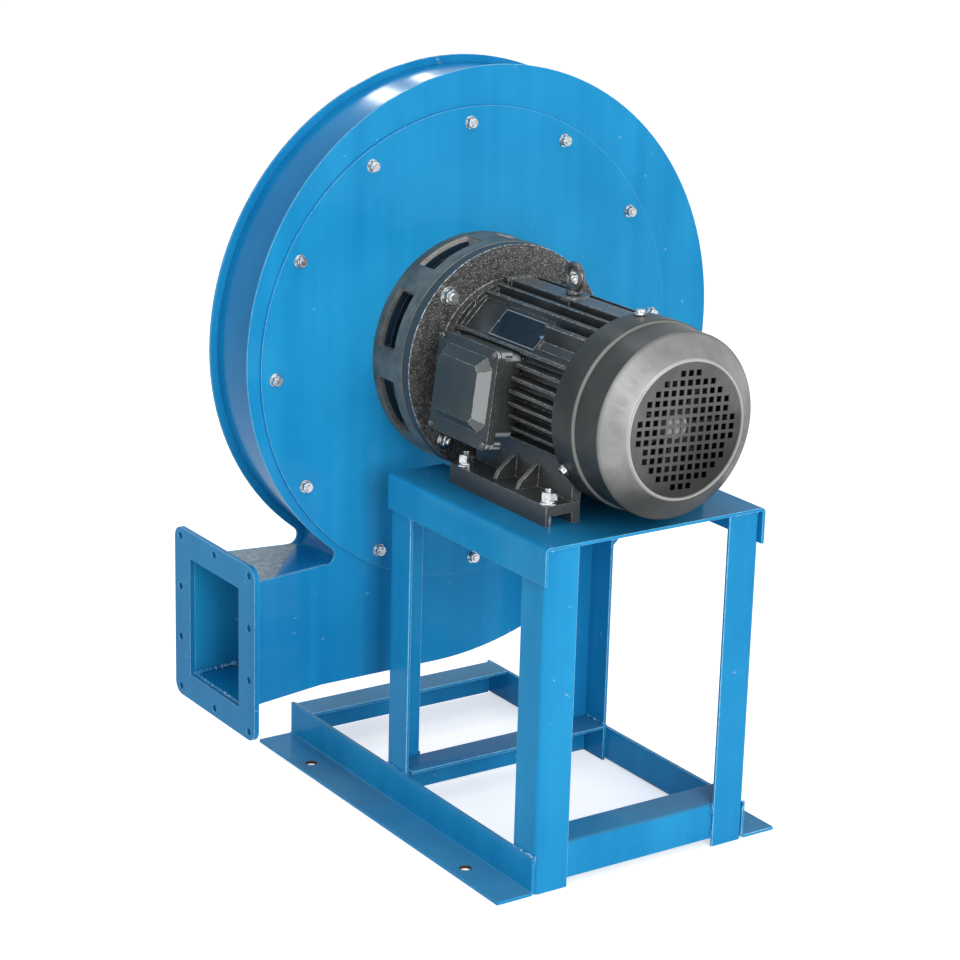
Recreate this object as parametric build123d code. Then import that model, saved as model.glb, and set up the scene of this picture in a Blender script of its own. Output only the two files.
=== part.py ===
from build123d import *
import math
import os

# High pressure centrifugal fan on a fabricated stand, direct driven by a flange and foot mounted motor.
# X runs across the stand, with the outlet towards -X. The shaft lies along Y, with the casing at +Y.
# Z is up. The origin lies on the floor, in the middle of the four holding-down holes. Sizes in mm.

# Stand: folded motor plate on four angle legs, two base rails and three cross members
sheet = 4.0                   # thickness of the plate and of all the angles
bend = 2.5                    # inner radius of a bend
plate_top = 446.0             # height of the face that the motor stands on
plate_half_width = 165.0      # outer face of the folded lips
plate_front = -295.0
plate_back = 53.0
plate_lip = 47.0              # height of a folded lip, over the bend
plate_notch_gap = 4.0         # round the motor flange, which dips below the plate
leg_angle = 48.0              # both flanges of a leg
leg_front = -290.0            # outer face of the front legs
rail_width = 50.0             # floor flange of a rail
rail_height = 49.0
rail_front = -289.0
rail_back = 296.0
cross_width = 50.0
cross_height = 48.0
front_cross_top = 58.0
middle_cross_top = 53.0
rear_cross_inset = 2.0        # from the rear ends of the rails
base_hole_pitch_x = 390.0
base_hole_pitch_y = 378.0
base_hole_radius = 7.0

# Motor: frame 132 with feet and a 300 mm flange, standard fixing sizes
centre_height = 132.0         # plate to shaft
flange_face = 50.0            # Y of the flange face and of the shaft shoulder
flange_radius = 150.0
flange_thickness = 16.0
flange_spigot_radius = 115.0
flange_spigot_height = 4.0
flange_bolt_radius = 132.5
flange_bolt_count = 4
flange_hole_radius = 7.25
foot_pitch_x = 216.0
foot_pitch_y = 178.0
foot_setback = 89.0           # shaft shoulder to the first foot hole
foot_hole_radius = 6.0
foot_thickness = 26.0
foot_outer = 120.0            # from the middle plane
foot_inner = 70.0
foot_front_overhang = 20.0    # past the holes, lengthways
foot_rear_overhang = 12.0
foot_wall = 5.0               # outer wall of the hollow foot
foot_inner_wall = 12.0
foot_roof = 13.0
cheek_top = -60.0             # where the wall over the foot meets the barrel
foot_rib_thickness = 7.0
foot_rib_pitch = 48.0
foot_rib_top = -76.0

frame_radius = 98.0           # root of the cooling fins
frame_wall = 8.0
fin_height = 15.0
fin_thickness = 4.0
fin_pitch = 15.6
fin_rows = 8                  # fins on each flank
fin_top_row = 60.0            # height of the highest flank fin over the shaft
top_fin_places = (32.0, 50.0, 66.0)
rib_half_width = 15.0         # flat rib that carries the eyebolt
rib_height = 14.0
rib_end_half_width = 21.0     # where the rib meets the front ring
rib_end_rise = 2.0
frame_front = 20.0
frame_back = -232.0
frame_ring_height = 10.0
frame_end_length = 12.0
frame_rear_ring = 14.0
frame_ring_step = 2.0         # the rear ring is this much smaller
eyebolt_y = -104.0
eyebolt_radius = 4.0
eyebolt_seat_radius = 19.0    # boss on the rib
eyebolt_seat_height = 2.0
wire_hole_radius = 16.0
pad_angle = 45.0              # direction of the nameplate pad, above the horizontal
pad_rise = 2.0                # over the barrel
pad_low = -20.0                # edges of the pad along its face, from the shaft
pad_high = 29.0
pad_front = 10.0
pad_back = -140.0

# Terminal box on the outlet side
box_tilt = 7.3                # degrees that its cover faces upwards
box_middle_y = -68.5
box_middle_s = -15.3          # up its own face, from the shaft
box_length = 128.0            # along Y, over the cover
box_height = 125.0
box_depth = 31.0              # from the barrel to the face of its rim
box_wall = 4.0
box_rim = 4.0                 # rim stands out past the walls
box_sill = 10.0               # and this much more at the bottom
box_rim_thickness = 5.0
box_corner = 12.0
box_gasket = 1.0
box_cover_rim = 5.0
box_cover_wall = 3.0
dome_height = 13.0            # raised middle of the cover
dome_slope = 13.0
dome_side_margin = 8.0
dome_top_margin = 12.0
dome_bottom_margin = 18.0
dome_chamfer = 14.0
box_screw_inset = 7.0
box_screw_radius = 2.0
box_boss_radius = 5.5
box_boss_depth = 16.0
board_length = 60.0
board_height = 40.0
board_thickness = 8.0
board_shift = -4.0

# Cowl and cooling fan
cowl_front = -230.0
cowl_step = -270.0
cowl_corner = -315.5
cowl_end = -336.0
cowl_radius = 117.5
cowl_rear_radius = 114.2
cowl_face_radius = 88.0
cowl_sheet = 1.6
grille_bead_radius = 83.7
grille_bead = 2.2
grille_pitch = 11.4
grille_hole = 7.4
grille_turn = -3.5            # degrees
grille_reach = 6.1            # holes lie within this many pitches of the middle
cowl_screw_setback = 9.0
cowl_screw_count = 3
fan_radius = 92.0
fan_back = -318.0
fan_front = -276.0
fan_blade = 3.0
fan_blades = 7

# Shaft, rotor, stator and bearings
shaft_radius = 19.0
shaft_length = 80.0           # past the flange face
bearing_bore_radius = 20.0
bearing_radius = 45.0
bearing_width = 23.0
bearing_front = 38.0          # front face of the drive end bearing
rear_bearing_back = -264.0    # back face of the rear bearing
race_thickness = 6.5
ball_radius = 7.4
ball_count = 8
cage_rim = 2.0
cage_thickness = 4.0
core_front = -38.0
core_length = 150.0
rotor_radius = 55.5
air_gap = 0.6
rotor_shaft_radius = 27.0
winding_reach = 26.0
winding_corner = 6.0
winding_margin = 6.0
fit = 0.05                    # radial clearance between seated round faces
running = 0.4                 # clearance between faces that turn past each other

# Spacer ring between the motor flange and the casing cover
spacer_length = 68.0
spacer_radius = 151.0
spacer_wall = 13.0
spacer_lip = 12.0
spacer_lip_slope = 3.0
slot_count = 8
slot_arc = 30.0
slot_front = 12.5             # from the cover
slot_length = 36.0
spacer_screw_count = 8
spacer_screw_radius = 5.0

# Casing
case_sheet = 3.0
case_width = 93.0             # between the inner faces of the side plates
cover_sheet_case = 4.0
cover_radius = 313.0
cover_bore_radius = 50.0
cover_opening_radius = 272.0
cover_bolt_circle = 293.0
cover_bolt_count = 12
cover_bolt_start = 2.0        # degrees
case_bolt_radius = 4.0
case_nut = 7.0                # height of the welded nuts
reach_left = 331.0            # outline of the side plates from the shaft
reach_top = 363.5
reach_right = 388.5
reach_bottom = 433.0
upper_centre_x = 25.0
tongue_centre_x = -9.0
plate_overhang = 10.0         # side plates stand out past the wrapper
tongue_radius = 16.0
duct_top = -268.0             # outer face of the duct roof, from the shaft
duct_start = -220.0           # where the duct begins to widen
duct_flare = 19.0             # each side, at the flange
duct_drop = 12.0              # of the duct floor, at the flange
outlet_face = -352.0
outlet_flange_thickness = 7.0
outlet_flange_width = 214.0
outlet_flange_height = 233.0
outlet_flange_corner = 16.0
outlet_hole_pitch_y = 184.0
outlet_hole_pitch_z = 70.0
outlet_hole_radius = 5.0

# Inlet, on the side away from the motor
inlet_radius = 82.5
inlet_tube_length = 55.0
inlet_sheet = 3.0
inlet_seat_radius = 150.0     # outer edge of the ring bolted to the casing
inlet_flange_radius = 117.5
inlet_flange_thickness = 6.0
inlet_hole_circle = 100.0
inlet_hole_count = 8
inlet_hole_radius = 5.0
inlet_bolt_circle = 138.0
inlet_bolt_count = 8
cone_depth = 24.0
cone_throat_radius = 76.0

# Impeller
impeller_radius = 250.0
disc_sheet = 4.0
disc_front = 138.0            # Y of its seat on the hub
eye_radius = 82.0
shroud_eye_y = 197.0
shroud_rim_y = 163.0
shroud_sheet = 2.5
blade_count = 12
blade_sheet = 3.0
blade_inner_radius = 96.0
blade_inlet_lean = 38.0       # degrees that the blade's root is turned back from the radius
hub_barrel_radius = 34.0
hub_flange_radius = 78.0
hub_flange_thickness = 10.0
hub_back = 66.0
rivet_circle = 62.0
rivet_count = 12
rivet_radius = 4.0
washer_radius = 30.0
washer_thickness = 7.0

# Worked-out places
fin_tip_radius = frame_radius + fin_height
rib_top = frame_radius + rib_height
frame_end_radius = frame_radius + frame_ring_height
pad_distance = frame_radius + pad_rise
box_seat = frame_radius
box_rim_face = box_seat + box_depth
shaft_z = plate_top + centre_height
cover_back = flange_face + spacer_length
cover_front = cover_back + cover_sheet_case
case_back = cover_front + case_sheet
case_front = case_back + case_width
case_middle = (case_back + case_front) / 2
leg_outer = plate_half_width - sheet
shaft_end = flange_face + shaft_length
leg_back = plate_back


def box(x0, x1, y0, y1, z0, z1):
    """A block between two corners."""
    middle = Pos((x0 + x1) / 2, (y0 + y1) / 2, (z0 + z1) / 2)
    return middle * Box(abs(x1 - x0), abs(y1 - y0), abs(z1 - z0))


def disc(radius, y0, y1, x=0.0, z=shaft_z):
    """A round bar along Y."""
    return Pos(x, (y0 + y1) / 2, z) * Rot(90, 0, 0) * Cylinder(radius, abs(y1 - y0))


def tube(outer, inner, y0, y1):
    """A round tube along the shaft."""
    return disc(outer, y0, y1) - disc(inner, y0 - 1, y1 + 1)


def post(radius, z0, z1, x, y):
    """A round bar along Z."""
    return Pos(x, y, (z0 + z1) / 2) * Cylinder(radius, abs(z1 - z0))


def turned(points):
    """A solid turned about the shaft from (radius, y) points."""
    face = make_face(Polyline(*[(r, y) for r, y in points], close=True))
    return Pos(0, 0, shaft_z) * revolve(face, Axis.Y)


def about_shaft(shape, angle):
    """The shape turned about the shaft. Angles run from +X towards +Z."""
    return Pos(0, 0, shaft_z) * Rot(0, -angle, 0) * Pos(0, 0, -shaft_z) * shape


def around(shape, count, start=0.0):
    """Copies of the shape spaced evenly about the shaft."""
    return [about_shaft(shape, start + i * 360 / count) for i in range(count)]


def upright(face, y0, y1):
    """A face drawn in x and height over the shaft, made a solid from y0 to y1."""
    return Pos(0, y1, shaft_z) * Rot(90, 0, 0) * extrude(face, amount=y1 - y0)


def level(face, z0, z1):
    """A face drawn in x and y, made a solid from z0 to z1."""
    return Pos(0, 0, z0) * extrude(face, amount=z1 - z0)


def polygon(*points):
    """A flat face from its corners."""
    return make_face(Polyline(*points, close=True))


def hex_prism(across, y0, y1, x=0.0, z=shaft_z):
    """A hexagon bar along Y, given across its flats."""
    bar = extrude(RegularPolygon(across / math.sqrt(3), 6), amount=abs(y1 - y0))
    return Pos(x, max(y0, y1), z) * Rot(90, 0, 0) * bar


def angle_profile(width, height, radius):
    """An angle section with its heel at the origin: width along +x, height along +y."""
    outer = radius + sheet
    section = polygon((0, 0), (width, 0), (width, sheet), (sheet, sheet), (sheet, height), (0, height))
    heel = min(section.vertices(), key=lambda v: v.X + v.Y)
    section = fillet(heel, outer)
    root = min(section.vertices(), key=lambda v: (v.X - sheet) ** 2 + (v.Y - sheet) ** 2)
    return fillet(root, radius)


def keep(shape, name):
    """Write one sub-part."""
    if isinstance(shape, (list, tuple)):
        shape = Compound(children=list(shape))
    shape.label = name
    export_step(shape, "parts/" + name + ".step")


os.makedirs("parts", exist_ok=True)

# Base rails, with the floor flange turned outwards
rail_section = angle_profile(rail_width + sheet, rail_height, bend)
for name, side in (("base_rail_left", -1), ("base_rail_right", 1)):
    rail = extrude(rail_section, amount=rail_back - rail_front)
    rail = Pos(leg_outer, rail_back, 0) * Rot(90, 0, 0) * rail
    for y in (-base_hole_pitch_y / 2, base_hole_pitch_y / 2):
        rail -= post(base_hole_radius, -1, sheet + 1, base_hole_pitch_x / 2, y)
    keep(mirror(rail, Plane.YZ) if side < 0 else rail, name)

# Motor plate with two folded lips and the four foot holes
plate_section = make_face(
    Polyline(
        (-plate_half_width, plate_top - plate_lip),
        (-plate_half_width, plate_top),
        (plate_half_width, plate_top),
        (plate_half_width, plate_top - plate_lip),
        (leg_outer, plate_top - plate_lip),
        (leg_outer, plate_top - sheet),
        (-leg_outer, plate_top - sheet),
        (-leg_outer, plate_top - plate_lip),
        close=True,
    )
)
plate_section = fillet(
    [v for v in plate_section.vertices() if v.Y > plate_top - 0.1], bend + sheet
)
plate_section = fillet(
    [v for v in plate_section.vertices() if abs(v.Y - plate_top + sheet) < 0.1], bend
)
motor_plate = Pos(0, plate_back, 0) * Rot(90, 0, 0) * extrude(plate_section, amount=plate_back - plate_front)
foot_places = [
    (side * foot_pitch_x / 2, flange_face - foot_setback - row * foot_pitch_y)
    for side in (-1, 1)
    for row in (0, 1)
]
for x, y in foot_places:
    motor_plate -= post(foot_hole_radius + 0.5, plate_top - sheet - 1, plate_top + 1, x, y)
notch_radius = spacer_radius + plate_notch_gap
notch_half = math.sqrt(notch_radius ** 2 - centre_height ** 2)
motor_plate -= box(
    -notch_half,
    notch_half,
    flange_face - flange_thickness - plate_notch_gap,
    plate_back + 1,
    plate_top - sheet - 1,
    plate_top + 1,
)
keep(motor_plate, "motor_plate")

# Legs, each an angle with its heel at an outer corner of the stand, coped to the bend of the plate
leg_section = angle_profile(leg_angle, leg_angle, bend)
for name, side, end, y in (
    ("front_leg_left", -1, -1, leg_front),
    ("front_leg_right", 1, -1, leg_front),
    ("rear_leg_left", -1, 1, leg_back),
    ("rear_leg_right", 1, 1, leg_back),
):
    leg = extrude(leg_section, amount=plate_top - sheet)
    if side > 0:
        leg = mirror(leg, Plane.YZ)
    if end > 0:
        leg = mirror(leg, Plane.XZ)
    keep(Pos(side * leg_outer, y, 0) * leg - motor_plate, name)

# Cross members, angles with one flange level
cross_section = angle_profile(cross_width, cross_height, bend)


def cross_member(half_length, top, heel_y, towards):
    """An angle along X: its level flange runs from heel_y towards +Y or -Y."""
    bar = extrude(cross_section, amount=2 * half_length)
    bar = Rot(0, 90, 0) * Rot(0, 0, 90) * bar
    bar = mirror(bar, Plane.XY) if bar.bounding_box().max.Z > cross_height / 2 else bar
    if (bar.bounding_box().max.Y > cross_width / 2) != (towards > 0):
        bar = mirror(bar, Plane.XZ)
    return Pos(-half_length, heel_y, top) * bar


leg_inner = leg_outer - sheet
keep(cross_member(leg_inner - bend, front_cross_top, leg_front + sheet, 1), "front_cross_member")
keep(cross_member(leg_inner - bend, middle_cross_top, leg_back - sheet, -1), "middle_cross_member")
keep(cross_member(leg_outer, rail_height, rail_back - rear_cross_inset, -1), "rear_cross_member")

# Motor frame: finned barrel, end ring, eyebolt rib, nameplate pad, box seat and feet
rib_flat = Pos(0, rib_top / 2) * Rectangle(2 * rib_half_width, rib_top)
section = Circle(frame_radius)
for i in range(fin_rows):
    height = fin_top_row - i * fin_pitch
    section += Pos(0, height) * Rectangle(2 * fin_tip_radius, fin_thickness)
for place in top_fin_places:
    for side in (-1, 1):
        section += Pos(side * place, fin_tip_radius / 2) * Rectangle(fin_thickness, fin_tip_radius)
        section += Pos(side * place, -fin_tip_radius / 2) * Rectangle(fin_thickness, fin_tip_radius)
section = section & Circle(fin_tip_radius)
section += rib_flat
frame = upright(section, frame_back + frame_rear_ring / 2, frame_front - frame_end_length / 2)
frame += disc(frame_end_radius, frame_front - frame_end_length, frame_front)
frame += disc(frame_end_radius - frame_ring_step, frame_back, frame_back + frame_rear_ring)
rib_face = shaft_z + rib_top + eyebolt_seat_height
frame += post(eyebolt_seat_radius, shaft_z + rib_top - 20, rib_face, 0, eyebolt_y)
frame += box(
    -rib_end_half_width,
    rib_end_half_width,
    frame_front - frame_end_length,
    frame_front,
    shaft_z + frame_radius - frame_wall,
    shaft_z + rib_top + rib_end_rise,
)

pad_pose = Pos(0, 0, shaft_z) * Rot(0, pad_angle, 0)
frame += pad_pose * box(-pad_distance, 0, pad_back, pad_front, pad_low, pad_high)
frame -= pad_pose * box(-fin_tip_radius - 9, -pad_distance, pad_back, pad_front, pad_low, pad_high)

box_pose = Pos(0, 0, shaft_z) * Rot(0, box_tilt, 0)
box_half_length = box_length / 2 - box_rim
body_high = box_height / 2 - box_rim
body_low = box_sill - body_high
seat_margin = 6.0
frame -= box_pose * box(
    -fin_tip_radius - 30,
    -box_seat,
    box_middle_y - box_half_length - 3,
    box_middle_y + box_half_length + 3,
    box_middle_s + body_low - 3,
    box_middle_s + body_high + 3,
)
frame += box_pose * box(
    -box_seat,
    -10,
    box_middle_y - box_half_length + seat_margin,
    box_middle_y + box_half_length - seat_margin,
    box_middle_s + body_low + seat_margin,
    box_middle_s + body_high - seat_margin,
)

foot_top = foot_thickness - centre_height
foot_front = flange_face - foot_setback + foot_front_overhang
foot_back = flange_face - foot_setback - foot_pitch_y - foot_rear_overhang
foot_side = box(foot_inner, foot_outer, foot_back, foot_front, plate_top, plate_top + foot_thickness)
foot_side -= box(
    foot_inner + foot_inner_wall,
    foot_outer - foot_wall,
    foot_back - 1,
    foot_front + 1,
    plate_top - 1,
    plate_top + foot_thickness - foot_roof,
)
foot_side += upright(
    polygon(
        (foot_inner, foot_top - 8),
        (foot_inner + foot_inner_wall, foot_top - 8),
        (foot_inner + foot_inner_wall - 4, cheek_top),
        (foot_inner - 8, cheek_top - 6),
    ),
    foot_back + 3,
    foot_front,
)
web = polygon(
    (foot_inner + 2, foot_top - 1),
    (foot_outer - 10, foot_top - 1),
    (foot_outer - 14, foot_top + 9),
    (foot_inner + 10, foot_rib_top),
    (foot_inner + 2, foot_rib_top),
)
foot_middle = flange_face - foot_setback - foot_pitch_y / 2
for y in (foot_middle - foot_rib_pitch / 2, foot_middle + foot_rib_pitch / 2):
    foot_side += upright(web, y - foot_rib_thickness / 2, y + foot_rib_thickness / 2)
frame += foot_side
frame += mirror(foot_side, Plane.YZ)
frame -= disc(frame_radius - frame_wall, frame_back - 1, frame_front + 1)
for x, y in foot_places:
    frame -= post(foot_hole_radius + 0.5, plate_top - 1, plate_top + foot_thickness + 1, x, y)
frame -= post(eyebolt_radius + 0.3, rib_face - 15, rib_face + 1, 0, eyebolt_y)
wire_hole = Rot(0, 90, 0) * Cylinder(wire_hole_radius, 40)
frame -= box_pose * Pos(-box_seat, box_middle_y, box_middle_s) * wire_hole
keep(frame, "motor_frame")

# Drive end shield with the mounting flange, its spigot and the bearing seat
flange_back = flange_face - flange_thickness
spigot_face = flange_face + flange_spigot_height
cap_bore = 30.0
shield_seat = 8.0             # length and wall of the shields' seats
shield = turned(
    [
        (bearing_radius + fit, bearing_front - bearing_width),
        (bearing_radius + fit, bearing_front),
        (cap_bore, bearing_front),
        (cap_bore, spigot_face - shield_seat),
        (60, spigot_face - shield_seat),
        (flange_spigot_radius - 15, flange_face - 4),
        (flange_spigot_radius - 9, spigot_face),
        (flange_spigot_radius, spigot_face),
        (flange_spigot_radius, flange_face),
        (flange_radius, flange_face),
        (flange_radius, flange_back),
        (frame_end_radius, flange_back),
        (frame_end_radius, frame_front),
        (frame_radius - frame_wall - fit, frame_front),
        (frame_radius - frame_wall - fit, frame_front - shield_seat),
        (frame_radius - frame_wall - shield_seat, frame_front - shield_seat),
        (60, flange_back - 4),
        (bearing_radius + shield_seat, bearing_front - bearing_width),
    ]
)
flange_studs_start = 45.0
bore = disc(flange_hole_radius, flange_back - 20, flange_face + 1, x=flange_bolt_radius)
for hole in around(bore, flange_bolt_count, flange_studs_start):
    shield -= hole
keep(shield, "drive_end_shield")
oil_seal = tube(cap_bore - fit, bearing_bore_radius + running, bearing_front + fit, flange_face - 4)
keep(oil_seal, "drive_end_seal")

# Rear shield with its bearing seat, closing plate and lugs for the cowl screws
rear_bearing_front = rear_bearing_back + bearing_width
rear_rim = 14.0
rear_shield = turned(
    [
        (bearing_radius + fit, rear_bearing_back),
        (bearing_radius + fit, rear_bearing_front),
        (bearing_radius + shield_seat, rear_bearing_front),
        (62, frame_back + shield_seat - 2),
        (frame_radius - frame_wall - shield_seat, frame_back + shield_seat - 2),
        (frame_radius - frame_wall - shield_seat, frame_back + shield_seat),
        (frame_radius - frame_wall - fit, frame_back + shield_seat),
        (frame_radius - frame_wall - fit, frame_back),
        (cowl_radius - cowl_sheet - fit, frame_back),
        (cowl_radius - cowl_sheet - fit, frame_back - rear_rim),
        (frame_end_radius - 6, frame_back - rear_rim),
        (60, rear_bearing_back - shield_seat),
        (cap_bore, rear_bearing_back - shield_seat),
        (cap_bore, rear_bearing_back),
    ]
)
screw_y = cowl_front - cowl_screw_setback
screw_radius = 3.0
screw_bore = Pos(0, screw_y, shaft_z + cowl_radius) * Cylinder(screw_radius + 0.3, 22)
for hole in around(screw_bore, cowl_screw_count):
    rear_shield -= hole
keep(rear_shield, "rear_shield")

# Stator core and end windings
core_back = core_front - core_length
stator_radius = frame_radius - frame_wall
keep(tube(stator_radius - fit, rotor_radius + air_gap, core_back, core_front), "stator_core")
windings = []
for y0, y1 in ((core_front, core_front + winding_reach), (core_back - winding_reach, core_back)):
    ring = tube(stator_radius - winding_margin, rotor_radius + winding_margin, y0, y1)
    far_edges = [e for e in ring.edges().filter_by(GeomType.CIRCLE)
                 if abs(e.center().Y - (y1 if y0 == core_front else y0)) < 0.1]
    windings.append(fillet(far_edges, winding_corner))
keep(windings, "stator_windings")

# Bearings: outer races in the shields, inner races on the shaft, balls in their cage between
cage_circle = (bearing_bore_radius + bearing_radius) / 2


def race(outer, inner, front):
    """One race with its ball groove."""
    ring = tube(outer, inner, front - bearing_width, front)
    groove = Torus(cage_circle, ball_radius + running / 2)
    groove = Pos(0, front - bearing_width / 2, shaft_z) * Rot(90, 0, 0) * groove
    return ring - groove


def ball_cage(front):
    """The balls and the ribbon cage that spaces them."""
    middle = front - bearing_width / 2
    ball = Pos(cage_circle, middle, shaft_z) * Sphere(ball_radius)
    pocket = Rot(0, 90, 0) * Cylinder(ball_radius + running / 2, 3 * cage_thickness)
    pocket = Pos(cage_circle, middle, shaft_z) * pocket
    half = ball_radius + cage_rim
    wall = cage_thickness / 2
    cage = tube(cage_circle + wall, cage_circle - wall, middle - half, middle + half)
    for hole in around(pocket, ball_count):
        cage -= hole
    return around(ball, ball_count) + [cage]


outer_race_bore = bearing_radius - race_thickness
inner_race_radius = bearing_bore_radius + race_thickness
keep(race(bearing_radius, outer_race_bore, bearing_front), "drive_end_outer_race")
keep(race(bearing_radius, outer_race_bore, rear_bearing_front), "rear_outer_race")
keep(race(inner_race_radius, bearing_bore_radius + fit, bearing_front), "drive_end_inner_race")
keep(race(inner_race_radius, bearing_bore_radius + fit, rear_bearing_front), "rear_inner_race")
keep(ball_cage(bearing_front), "drive_end_balls")
keep(ball_cage(rear_bearing_front), "rear_balls")

# Motor shaft with its keyway, and the rotor core with end rings and fan lugs
key_width = 10.0
key_depth = 5.0
key_height = 8.0
key_front = shaft_end - 6
key_back = hub_back + 4
shaft = turned(
    [
        (0, fan_back - 1),
        (15, fan_back - 1),
        (15, rear_bearing_back - 2),
        (bearing_bore_radius, rear_bearing_back - 2),
        (bearing_bore_radius, rear_bearing_front),
        (rotor_shaft_radius, rear_bearing_front),
        (rotor_shaft_radius, bearing_front - bearing_width),
        (bearing_bore_radius, bearing_front - bearing_width),
        (bearing_bore_radius, flange_face),
        (shaft_radius, flange_face),
        (shaft_radius, shaft_end - 2),
        (shaft_radius - 2, shaft_end),
        (0, shaft_end),
    ]
)
keyway = box(
    -key_width / 2,
    key_width / 2,
    key_back,
    key_front,
    shaft_z + shaft_radius - key_depth,
    shaft_z + shaft_radius + 1,
)
shaft -= keyway
lock_radius = 6.0
lock_depth = 28.0
shaft -= disc(lock_radius + fit, shaft_end - lock_depth, shaft_end + 1)
keep(shaft, "motor_shaft")
key_top = shaft_z + shaft_radius - key_depth + key_height
keep(
    box(
        -key_width / 2 + fit,
        key_width / 2 - fit,
        key_back,
        key_front - fit,
        shaft_z + shaft_radius - key_depth,
        key_top,
    ),
    "shaft_key",
)
rotor = tube(rotor_radius, rotor_shaft_radius + fit, core_back, core_front)
end_ring = tube(rotor_radius - 4, rotor_radius - 16, core_front, core_front + 12)
end_ring += tube(rotor_radius - 4, rotor_radius - 16, core_back - 12, core_back)
lug_inner = rotor_radius - 13
lug_outer = rotor_radius - 7
rotor_lug = box(lug_inner, lug_outer, core_front + 11, core_front + 22, shaft_z - 3, shaft_z + 3)
rear_lug = box(lug_inner, lug_outer, core_back - 22, core_back - 11, shaft_z - 3, shaft_z + 3)
rotor += end_ring
for lug in around(rotor_lug + rear_lug, 8):
    rotor += lug
keep(rotor, "rotor_core")

# Cooling fan: hub, back disc and straight blades
fan = disc(24, fan_back, fan_front) - disc(15 + fit, fan_back - 1, fan_front + 1)
fan += tube(fan_radius - 14, 20, fan_front - 4, fan_front)
fan_vane = box(21, fan_radius, fan_back + 4, fan_front, shaft_z - fan_blade / 2, shaft_z + fan_blade / 2)
for vane in around(fan_vane, fan_blades):
    fan += vane
fan -= disc(15 + fit, fan_back - 1, fan_front + 1)
keep(fan, "cooling_fan")

# Cowl pressed from sheet, with a stepped skirt, a bevelled rim and a square-holed grille
cowl = turned(
    [
        (cowl_radius, cowl_front),
        (cowl_radius, cowl_step + 1.5),
        (cowl_rear_radius, cowl_step - 1.5),
        (cowl_rear_radius, cowl_corner),
        (cowl_face_radius, cowl_end + 1),
        (grille_bead_radius + 2, cowl_end),
        (grille_bead_radius + 1, cowl_end - grille_bead),
        (grille_bead_radius - 1, cowl_end - grille_bead),
        (grille_bead_radius - 2, cowl_end),
        (0, cowl_end),
        (0, cowl_end + cowl_sheet),
        (grille_bead_radius - 1.2, cowl_end + cowl_sheet),
        (grille_bead_radius - 0.4, cowl_end + cowl_sheet - grille_bead),
        (grille_bead_radius + 0.4, cowl_end + cowl_sheet - grille_bead),
        (grille_bead_radius + 1.2, cowl_end + cowl_sheet),
        (cowl_face_radius - 0.5, cowl_end + 1 + cowl_sheet),
        (cowl_rear_radius - cowl_sheet, cowl_corner + 0.6),
        (cowl_rear_radius - cowl_sheet, cowl_step - 1),
        (cowl_radius - cowl_sheet, cowl_step + 2),
        (cowl_radius - cowl_sheet, cowl_front),
    ]
)
holes = []
steps = range(-math.floor(grille_reach), math.floor(grille_reach) + 1)
for i in steps:
    for j in steps:
        if math.hypot(i, j) <= grille_reach:
            x = i * grille_pitch
            z = shaft_z + j * grille_pitch
            hole = box(
                x - grille_hole / 2,
                x + grille_hole / 2,
                cowl_end - 1,
                cowl_end + cowl_sheet + 1,
                z - grille_hole / 2,
                z + grille_hole / 2,
            )
            holes.append(about_shaft(hole, grille_turn))
cowl -= holes
for hole in around(screw_bore, cowl_screw_count):
    cowl -= hole
keep(cowl, "fan_cowl")
cowl_top = shaft_z + cowl_radius
cowl_screw = post(8, cowl_top + 0.8, cowl_top + 2.2, 0, screw_y)
cowl_screw += Pos(0, screw_y, cowl_top) * extrude(RegularPolygon(5.8, 6), amount=7)
cowl_screw += post(screw_radius, cowl_top - 10, cowl_top + 2, 0, screw_y)
keep(around(cowl_screw, cowl_screw_count), "cowl_screws")

# Eyebolt on the rib
ring_radius = 14.8
ring_wire = 4.2
collar_height = 6.0
eye_z = rib_face + collar_height + ring_radius + 1.5
eyebolt = Pos(0, eyebolt_y, eye_z) * Rot(0, 90, 0) * Torus(ring_radius, ring_wire)
eyebolt += post(10, rib_face, rib_face + collar_height, 0, eyebolt_y)
eyebolt += post(eyebolt_radius, rib_face - 12, rib_face + 2, 0, eyebolt_y)
keep(eyebolt, "lifting_eyebolt")

# Nameplate, left bare, and its rivets
plate_length = 100.0
plate_width = 42.0
plate_middle_y = -89.0
plate_thin = 0.8
pad_middle = (pad_low + pad_high) / 2
name_plate = box(
    -pad_distance - plate_thin,
    -pad_distance,
    plate_middle_y - plate_length / 2,
    plate_middle_y + plate_length / 2,
    pad_middle - plate_width / 2,
    pad_middle + plate_width / 2,
)
rivets = []
for y in (-1, 1):
    place = Pos(-pad_distance - plate_thin - 0.7, plate_middle_y + y * (plate_length / 2 - 4), pad_middle)
    rivets.append(pad_pose * place * Rot(0, 90, 0) * Cylinder(2.0, 1.4))
keep(pad_pose * name_plate, "nameplate")
keep(rivets, "nameplate_rivets")

# Terminal box, gasket, pressed cover, screws, terminal board and the plug of the cable entry
box_face = box_pose * Pos(0, box_middle_y, box_middle_s)


def rounded(length, height, corner, d0, d1):
    """A rounded block of the box, between two distances from the shaft."""
    face = RectangleRounded(height, length, corner)
    return Rot(0, -90, 0) * Pos(0, 0, d0) * extrude(face, amount=d1 - d0)


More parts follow.
